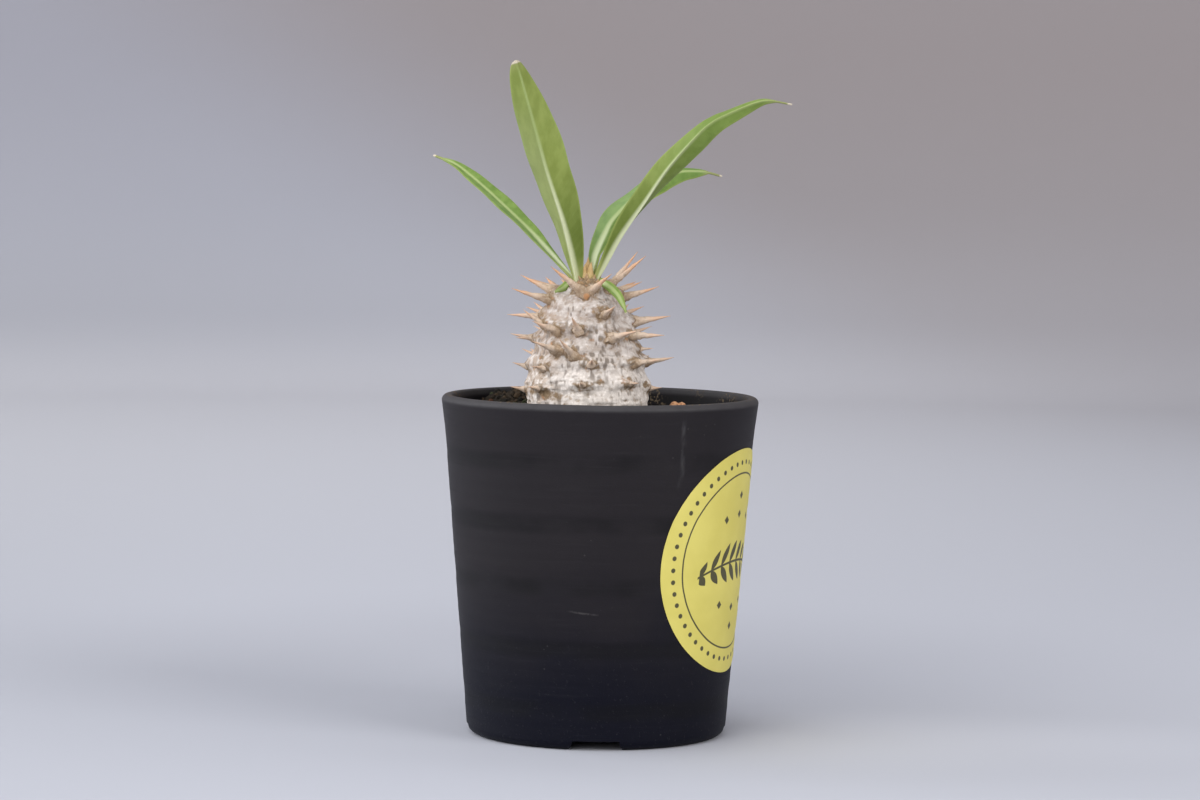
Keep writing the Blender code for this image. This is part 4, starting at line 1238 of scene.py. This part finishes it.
def bud_finish():
    """Ochre scales, tan at the tip, and brown felt on the rings round them, all finely streaked."""
    bud = Finish("ochre_bud")
    along = bud.value("along")
    streak = bud.noise(0.6 * MM, stretch=(3.0, 3.0, 0.7))
    felt = bud.mix(along.rise(0.2, 0.9), (0.20, 0.14, 0.075), (0.42, 0.26, 0.14))
    colour = bud.coats(
        bud.mix(along.rise(0.1, 0.75), (0.50, 0.40, 0.17), (0.52, 0.34, 0.14)),
        (bud.value("felted"), felt),
        (streak.rise(0.45, 0.65) * 0.5, (0.56, 0.45, 0.28)),
    )
    bud.paint(Base_Color=colour, Roughness=0.70, Normal=bud.bump(streak, 0.15 * MM))
    return bud.material


def make_bud():
    """Pointed scales round the growing tip: those of the bud, then two rings of short brown ones."""
    roots, tips, radius = (list(part) for part in zip(*BUD_SCALES))
    rng = np.random.default_rng(71)
    for ring, level, rise, count in SCALE_RINGS:
        for number in range(count):
            turn = (number + rng.uniform(-0.3, 0.3)) * math.tau / count
            out = np.array([math.sin(turn), -math.cos(turn), 0.0])
            roots.append(out * ring + (BUD_SIDE, 0.0, level))
            reach = ring + rng.uniform(0.8, 2.0)
            tips.append(out * reach + (BUD_SIDE, 0.0, level + rise * rng.uniform(0.8, 1.3)))
            radius.append(rng.uniform(1.0, 1.4))
    roots, tips = np.array(roots) * MM, np.array(tips) * MM
    length = np.linalg.norm(tips - roots, axis=1)
    way = (tips - roots) / length[:, None]
    bend = np.zeros(way.shape) + (0.03, 0.0, 0.0)
    radius = np.array(radius) * MM
    rings = tapered_tubes(roots, way - bend, bend, length, radius, SCALE_FLATNESS, SCALE_ROWS, SCALE_COLUMNS)
    felted = (np.arange(len(length)) >= len(BUD_SCALES))[:, None, None]
    along = np.linspace(0, 1, SCALE_ROWS)[None, :, None]
    rings = uneven(rings, 0.25, seed=67)
    return closed_bodies("growing_bud", rings, bud_finish(), "pale_bark", along=along, felted=felted)


make_bud()

# %% [markdown]
# ## The leaves
#
# Each leaf is a thin, leathery blade folded along its midrib. Its CAD solid is a plain loft, and the
# finer blade follows the same midrib and fold and nearly the same outline, so it lies in the same
# space. The surface is a function of two shares, along the midrib and across the blade: it adds a rib
# below, a shallow groove above, slanting side veins and a slight wave in the margin.

# %% Midribs, outlines and folds
# First the midrib's points, then the half width, its peak, its fullness and where the narrow dry tip
# begins. Then how far the left and the right half turn away from the front, in degrees from base to
# tip, and whether the front shows the upper side (-1) or the under side (1). Last, the painted light
# on each half near the base, from a painted pale sheen (0) through none (0.5) to the deepest painted
# shade (1).
LEAVES = {
    "leaf_left": (
        ((-6.4, 0.9, 127.4), (-10.2, 1.5, 131.4), (-15.7, 6.4, 137.1), (-21.6, 12.4, 143.1),
         (-29.2, 20.3, 149.9), (-33.8, 24.7, 153.9), (-38.5, 29.2, 157.7), (-43.3, 33.1, 161.1),
         (-49.7, 37.6, 163.6)),
        (3.36, 1.15, 0.8, 0.97), (-56, -66, -50), (46, 38, 36), -1, (0.3, 0.5)),
    "leaf_tall": (
        ((-5.7, -2.2, 126.0), (-7.0, -3.0, 128.6), (-7.6, -3.5, 131.6), (-11.0, -6.1, 145.3),
         (-15.5, -8.6, 159.0), (-18.5, -10.5, 169.4), (-22.9, -13.0, 184.3), (-24.8, -13.8, 190.4)),
        (6.74, 1.2, 0.42, 1.0), (68, 53, 30), (45, 8, 58), 1, (0.0, 1.0)),
    "leaf_right_front": (
        ((-3.0, -1.3, 126.8), (-0.5, -2.0, 130.9), (2.1, -4.0, 135.7), (5.8, -7.1, 142.5),
         (11.3, -11.6, 150.8), (18.0, -16.6, 160.8), (25.9, -22.5, 169.9), (29.6, -25.1, 173.3),
         (33.4, -27.7, 175.5), (41.8, -33.0, 179.2), (45.9, -35.2, 179.7), (51.2, -37.6, 178.8)),
        (4.6, 0.98, 0.76, 0.96), (0, 5, 42, 67, 55), (88, 88, 43, 10, 40), 1, (1.0, 0.9)),
    "leaf_right_back": (
        ((-3.2, 1.6, 126.8), (-2.1, 2.4, 133.8), (-1.4, 4.0, 136.7), (0.8, 6.9, 141.8),
         (3.5, 10.3, 146.6), (10.7, 15.8, 153.8), (16.4, 20.8, 157.7), (22.3, 24.7, 159.7),
         (26.6, 27.2, 160.0), (30.2, 28.9, 159.8), (34.6, 30.6, 158.7)),
        (4.5, 1.18, 0.62, 0.94), (42, 20, 58, 72, 70), (-62, -52, -30, -5, -10), -1, (0.1, 0.8)),
    "leaf_small_right": (
        ((-1.4, -3.6, 126.5), (-0.2, -4.9, 128.8), (0.9, -7.4, 128.2), (2.9, -9.7, 126.9),
         (4.9, -11.5, 124.8), (6.1, -12.3, 122.4), (7.0, -12.7, 120.2)),
        (1.4, 1.0, 0.7, 1.0), (20, 20), (20, 20), -1, (0.6, 0.6)),
    "leaf_small_left": (
        ((-6.4, -2.6, 126.6), (-9.2, -4.5, 127.9), (-10.9, -5.9, 126.8), (-13.3, -7.1, 125.6)),
        (1.2, 1.0, 0.7, 1.0), (20, 20), (20, 20), -1, (0.6, 0.6)),
}
STALK_HALF_WIDTH = 0.75 * MM
TIP_HALF_WIDTH = 0.38 * MM


def half_width(share, widest, peak, fullness, blade_end):
    """A sine arch along the blade, raised to a power, and never narrower than stalk or tip."""
    along = np.minimum(share / blade_end, 1.0)
    blade = widest * MM * np.abs(np.sin(math.pi * along**peak)) ** fullness
    return np.maximum(blade, np.interp(share, (0.0, 1.0), (STALK_HALF_WIDTH, TIP_HALF_WIDTH)))


# %% [markdown]
# ## The leaf's finish
#
# A leaf is two greens, fresh above and pale below, and its midrib shines pale. Near the base each half
# gets a painted shade, a painted pale sheen or neither, from how the light falls on it. A picture of a
# leaf would have to be stretched over each blade. The blade knows how far each point is from its rib,
# margin and tip, so the coats follow the shape by themselves.

# %% Lay the leaf's coats
def leaf_finish():
    """Green blade, deeper green above than below, with painted shade and sheen near the base, a pale midrib,
    faint side veins and a dry tip.
    """
    leaf = Finish("green_leaf_skin")
    x = leaf.axes()[0]
    along = leaf.value("along")
    from_rib = leaf.value("from_rib") / MM
    from_edge = leaf.value("from_edge") / MM
    upper = leaf.value("upper")
    vein = leaf.value("vein")
    mottle = leaf.noise(2.6 * MM, stretch=(1.0, 1.0, 0.5))
    fine = leaf.noise(0.45 * MM)
    top = leaf.mix(mottle.rise(0.35, 0.65), (0.115, 0.200, 0.034), (0.162, 0.255, 0.052))
    below = leaf.mix(mottle.rise(0.35, 0.65), (0.180, 0.230, 0.047), (0.224, 0.280, 0.067))
    rib_width = 0.92 - along * 0.40 + along.rise(0.45, 0.10) * 0.55
    rib = (from_rib / rib_width).rise(1.30, 0.20) * (from_rib / (from_rib + from_edge)).rise(0.75, 0.40)
    rib_top = leaf.mix(along.rise(0.45, 0.12), (0.34, 0.42, 0.17), (0.60, 0.66, 0.42))
    rib_below = leaf.mix(along.rise(0.72, 0.30), (0.29, 0.36, 0.13), (0.56, 0.60, 0.38))
    dry = (leaf.value("dry") + (mottle - 0.5) * 0.8).rise(0.35, 0.80)
    colour = leaf.coats(
        leaf.mix(upper, below, top),
        (x.rise(8 * MM, 30 * MM) * 0.50, (0.118, 0.222, 0.040)),
        # Painted shade and painted pale sheen on the halves near the base
        (leaf.value("deep") * 0.66, (0.076, 0.118, 0.012)),
        (leaf.value("bloom") * 0.28, leaf.mix(upper, (0.36, 0.40, 0.21), (0.30, 0.44, 0.26))),
        (vein * 0.07, (0.25, 0.32, 0.09)),
        (from_edge.rise(0.55, 0.08) * 0.50, (0.30, 0.35, 0.10)),
        (along.rise(0.15, 0.02) * 0.6, (0.40, 0.43, 0.17)),
        (rib * along.rise(1.0, 0.90) * 0.90, leaf.mix(upper, rib_below, rib_top)),
        (leaf.value("whisker") * 0.85, (0.26, 0.27, 0.11)),
        (dry, (0.56, 0.50, 0.39)),
    )
    roughness = 0.52 - upper * 0.06 + fine * 0.12 + dry * 0.3
    leaf.paint(Base_Color=colour, Roughness=roughness, Specular_IOR_Level=0.22)
    leaf.paint(Normal=leaf.bump(fine * 0.4 + vein * 0.5, 0.05 * MM))
    return leaf.material


# %% Turn the halves about the midrib
BLADE_HALF_THICKNESS = 0.24 * MM
STALK_HALF_THICKNESS = 0.60 * MM
STALK_SHARE = 0.14
RIB_PROUD = 0.50 * MM
RIB_SPREAD = 0.50 * MM
GROOVE_DEPTH = 0.10 * MM
GROOVE_WIDTH = 0.8 * MM
VEIN_SPACING = 2.1 * MM
VEIN_SLANT = 0.75
VEIN_ABOVE = 0.02 * MM
VEIN_BELOW = 0.03 * MM
WAVE_SHARE = 0.045
WAVE_COUNT = 4.3
FOLD_SOFTNESS = 0.10
LONG_LEAF_POINTS = 8
LONG_LEAF = (150, 27)
SHORT_LEAF = (56, 15)


def unit(vectors):
    """Vectors scaled to length 1."""
    return vectors / np.linalg.norm(vectors, axis=-1, keepdims=True)


def soft_ramp(value):
    """Nearly 0 for a negative value and nearly the value itself for a positive one, with a round bend."""
    return (np.sqrt(value**2 + FOLD_SOFTNESS**2) + value - FOLD_SOFTNESS) / 2


def folded_frame(midrib, left_turns, right_turns, facing):
    """Ways of the left and right half at each station, and the way from the under to the upper side."""
    share = np.linspace(0.0, 1.0, len(midrib))
    forward = unit(np.gradient(midrib, axis=0))
    across = unit(np.stack([forward[:, 2], np.zeros(len(midrib)), -forward[:, 0]], axis=-1))
    away = unit(np.array([0.0, 1.0, 0.0]) - forward * forward[:, 1:2])
    halves = []
    for sign, turns in ((-1, left_turns), (1, right_turns)):
        knots = curve_through(np.column_stack([np.linspace(0.0, 1.0, len(turns)), turns]))
        angle = np.radians(np.interp(share, knots[:, 0], knots[:, 1]))[:, None]
        halves.append(sign * np.cos(angle) * across + np.sin(angle) * away)
    left, right = halves
    lift = unit(np.cross(forward, right - left))
    lift *= np.sign(lift[:, 1:2] * facing)
    return left[:, None], right[:, None], lift[:, None]


# %% Loft each blade
def make_leaf(name, finish):
    """Blade at midrib(s) + left and right halves times their shares + thickness along the upper way."""
    points, outline, left_turns, right_turns, facing, painted_light_halves = LEAVES[name]
    stations, steps = LONG_LEAF if len(points) >= LONG_LEAF_POINTS else SHORT_LEAF
    midrib = evenly(curve_through(np.array(points) * MM), stations)
    length = np.linalg.norm(np.diff(midrib, axis=0), axis=1).sum()
    left, right, lift = folded_frame(midrib, left_turns, right_turns, facing)

    over = np.linspace(-1.0, 1.0, steps)
    t = np.concatenate([over, over[-2:0:-1]])[None, :]
    is_upper = np.concatenate([np.ones(steps), np.zeros(steps - 2)])[None, :]
    s = np.linspace(0.0, 1.0, stations)[:, None]
    half = half_width(s, *outline)
    out = half[..., None] * (soft_ramp(t)[..., None] * right + soft_ramp(-t)[..., None] * left)
    from_rib = np.abs(t) * half
    thick = np.interp(s, (0.0, STALK_SHARE), (STALK_HALF_THICKNESS, BLADE_HALF_THICKNESS))
    rounded = thick * np.sqrt(np.clip(1 - t**8, 0.0, 1.0))
    slant = s * length - from_rib * VEIN_SLANT
    vein = (0.5 + 0.5 * np.cos(math.tau * slant / VEIN_SPACING)) ** 8 * np.abs(t) ** 0.3 * (s < 0.95)
    rib = RIB_PROUD * np.minimum(1.0, half / (2 * MM)) * bell(from_rib, RIB_SPREAD)
    groove = GROOVE_DEPTH * bell(from_rib, GROOVE_WIDTH)
    above = rounded - groove + VEIN_ABOVE * vein
    below = -(rounded + rib * (1 - s) ** 0.3 + VEIN_BELOW * vein)
    wave = WAVE_SHARE * half * t**2 * np.sin(math.tau * (s * WAVE_COUNT + 0.2 * np.sign(t)) + 2 * facing)
    height = np.where(is_upper > 0, above, below) + wave
    rings = midrib[:, None] + out + height[..., None] * lift

    whisker = smooth_step(s, outline[3] - 0.06, outline[3] + 0.02)
    # Painted light on each half near the base: painted shade above 0.5, painted pale sheen below it
    depth = np.where(t > 0, painted_light_halves[1], painted_light_halves[0]) - 0.5
    deep = smooth_step(s, 0.58, 0.20) * np.maximum(depth, 0.0) * 2
    bloom = smooth_step(s, 0.95, 0.55) * smooth_step(s, 0.06, 0.30) * np.maximum(-depth, 0.0) * 2
    return closed_bodies(
        f"{name}_blade", rings, finish, "green_leaf", [name],
        along=s, from_rib=from_rib, from_edge=half - from_rib, vein=vein, upper=is_upper,
        whisker=whisker, dry=smooth_step(s, 0.978, 0.995), deep=deep, bloom=bloom)


leaf_skin = leaf_finish()
for name in LEAVES:
    make_leaf(name, leaf_skin)

# %% [markdown]
# ## Floor, light and camera
#
# The plant stands on a pale seamless sweep. A flat floor would show its far edge, so the floor curves
# up into a wall all round, which also gives every other view the same backdrop. The light is soft:
# wide lamps at the left, at the front left and overhead, a smaller one at the right and a pale
# surround. The lens and the camera's place come from the ellipse of the rim and the wall's taper.

# %% The sweep
FLOOR_REACH = 1.45
SWEEP_RADIUS = 0.55
WALL_TOP = 2.2
SWEEP_STEP = 0.25
SWEEP_COLUMNS = 96


def sweep_finish():
    """Pale paper, cool on the floor, with painted light and shade: a paler floor at the right, a painted
    shadow behind the pot, a wall darker upwards and to the right, and painted light far off and in a lamp's
    shadow.
    """
    paper = Finish("backdrop_paper")
    x, y, z = paper.axes()
    # Painted light: the floor is painted paler towards the right, where the lamps light it less
    floor = paper.mix(x.rise(-0.50, -0.02), (0.388, 0.402, 0.445), (0.482, 0.499, 0.557))
    # Painted shadow: a soft darker patch on the floor round and behind the pot
    painted_shadow_behind = distance(x + 0.02, y - 0.10)
    floor = paper.mix(painted_shadow_behind.rise(0.26, 0.06) * 0.14, floor, (0.10, 0.10, 0.12))
    # Painted shade: the wall is painted darker upwards, and darker and warmer towards the right
    right = (x + (z - 0.13) * 1.6).rise(-0.28, 0.18)
    low_wall = paper.mix(right, (0.500, 0.514, 0.574), (0.410, 0.388, 0.402))
    high_wall = paper.mix(right, (0.430, 0.434, 0.488), (0.376, 0.342, 0.346))
    wall = paper.mix(z.rise(0.06, 0.26), low_wall, high_wall)
    far = y.rise(0.75, 2.2) * (0.6 + right * 0.5)
    share = 1.0 - (1.0 - far) * (1.0 - z.rise(0.0, 0.15))
    # Painted light: a pale glow on the far floor and the foot of the wall, fading to the right
    painted_horizon_light = y.rise(0.0, 1.50) * x.rise(0.85, -0.05)
    painted_horizon_light = painted_horizon_light * (z.rise(0.050, -0.020) * 0.410 + z.rise(0.140, 0.0) * 0.190)
    # Painted light: the floor is painted paler right of the pot, where the left lamp's shadow falls
    painted_light_in_shadow = distance((x - 0.060) * math.sqrt(0.2), y + 0.010)
    colour = paper.coats(
        floor,
        (share, wall),
        (painted_horizon_light, (0.95, 0.96, 1.0)),
        (painted_light_in_shadow.rise(0.070, 0.0) * 0.20, (0.90, 0.92, 1.0)),
    )
    paper.paint(Base_Color=colour, Roughness=0.9, Specular_IOR_Level=0.1)
    return paper.material


def make_sweep():
    """Floor, quarter circle and wall as one profile turned round the axis, open at the top."""
    profile = [(MM, 0.0)]
    profile += arc(FLOOR_REACH, SWEEP_RADIUS, SWEEP_RADIUS, -90, 0, 24)
    profile.append((FLOOR_REACH + SWEEP_RADIUS, WALL_TOP))
    radius, height = fill_in(profile, SWEEP_STEP).T
    points = round_axis(radius[:, None], full_turn(SWEEP_COLUMNS), height[:, None]).reshape(-1, 3)
    faces = grid_quads(len(radius), SWEEP_COLUMNS).tolist() + [list(range(SWEEP_COLUMNS))]
    mesh = bpy.data.meshes.new("sweep")
    mesh.from_pydata(points, [], faces)
    mesh.shade_smooth()
    mesh.materials.append(sweep_finish())
    sweep = into_scene("sweep", mesh)


make_sweep()


# %% Lamps and surrounding light
LAMP_TARGET = Vector((0.0, 0.0, 0.1))


def soft_lamp(name, place, size, power, colour):
    """Square area lamp that faces the plant."""
    lamp = bpy.data.lights.new(name, "AREA")
    lamp.size = size
    lamp.energy = power
    lamp.color = colour
    holder = into_scene(name, lamp)
    holder.location = place
    holder.rotation_euler = (LAMP_TARGET - Vector(place)).to_track_quat("-Z", "Y").to_euler()


soft_lamp("overhead", (-0.20, 0.20, 1.9), 1.5, 9.2, (1.0, 0.99, 0.97))
soft_lamp("front_left", (-0.60, -1.35, 0.85), 1.3, 17.6, (1.0, 0.99, 0.97))
soft_lamp("left_edge", (-1.42, -0.02, 0.54), 2.0, 28.5, (0.97, 0.98, 1.0))
soft_lamp("right_fill", (1.20, -1.00, 0.7), 0.9, 14.5, (1.0, 0.98, 0.95))

surround = bpy.data.worlds.new("surround")
surround.use_nodes = True
background = surround.node_tree.nodes["Background"]
background.inputs["Color"].default_value = (0.62, 0.65, 0.72, 1.0)
background.inputs["Strength"].default_value = 0.56
bpy.context.scene.world = surround
bpy.context.scene.view_settings.view_transform = "Standard"

# %% The camera
LENS = 112.32
SENSOR_WIDTH = 36.0
CAMERA_PLACE = (-0.05 * MM, -1.0619, 165.2 * MM)
CAMERA_TILT = 3.79
CAMERA_ROLL = 0.76

camera_data = bpy.data.cameras.new("camera")
camera_data.lens = LENS
camera_data.sensor_width = SENSOR_WIDTH
camera = into_scene("camera", camera_data)
tilt = Matrix.Rotation(math.pi / 2 - math.radians(CAMERA_TILT), 4, "X")
roll = Matrix.Rotation(math.radians(CAMERA_ROLL), 4, "Z")
camera.matrix_world = Matrix.Translation(CAMERA_PLACE) @ tilt @ roll
bpy.context.scene.camera = camera
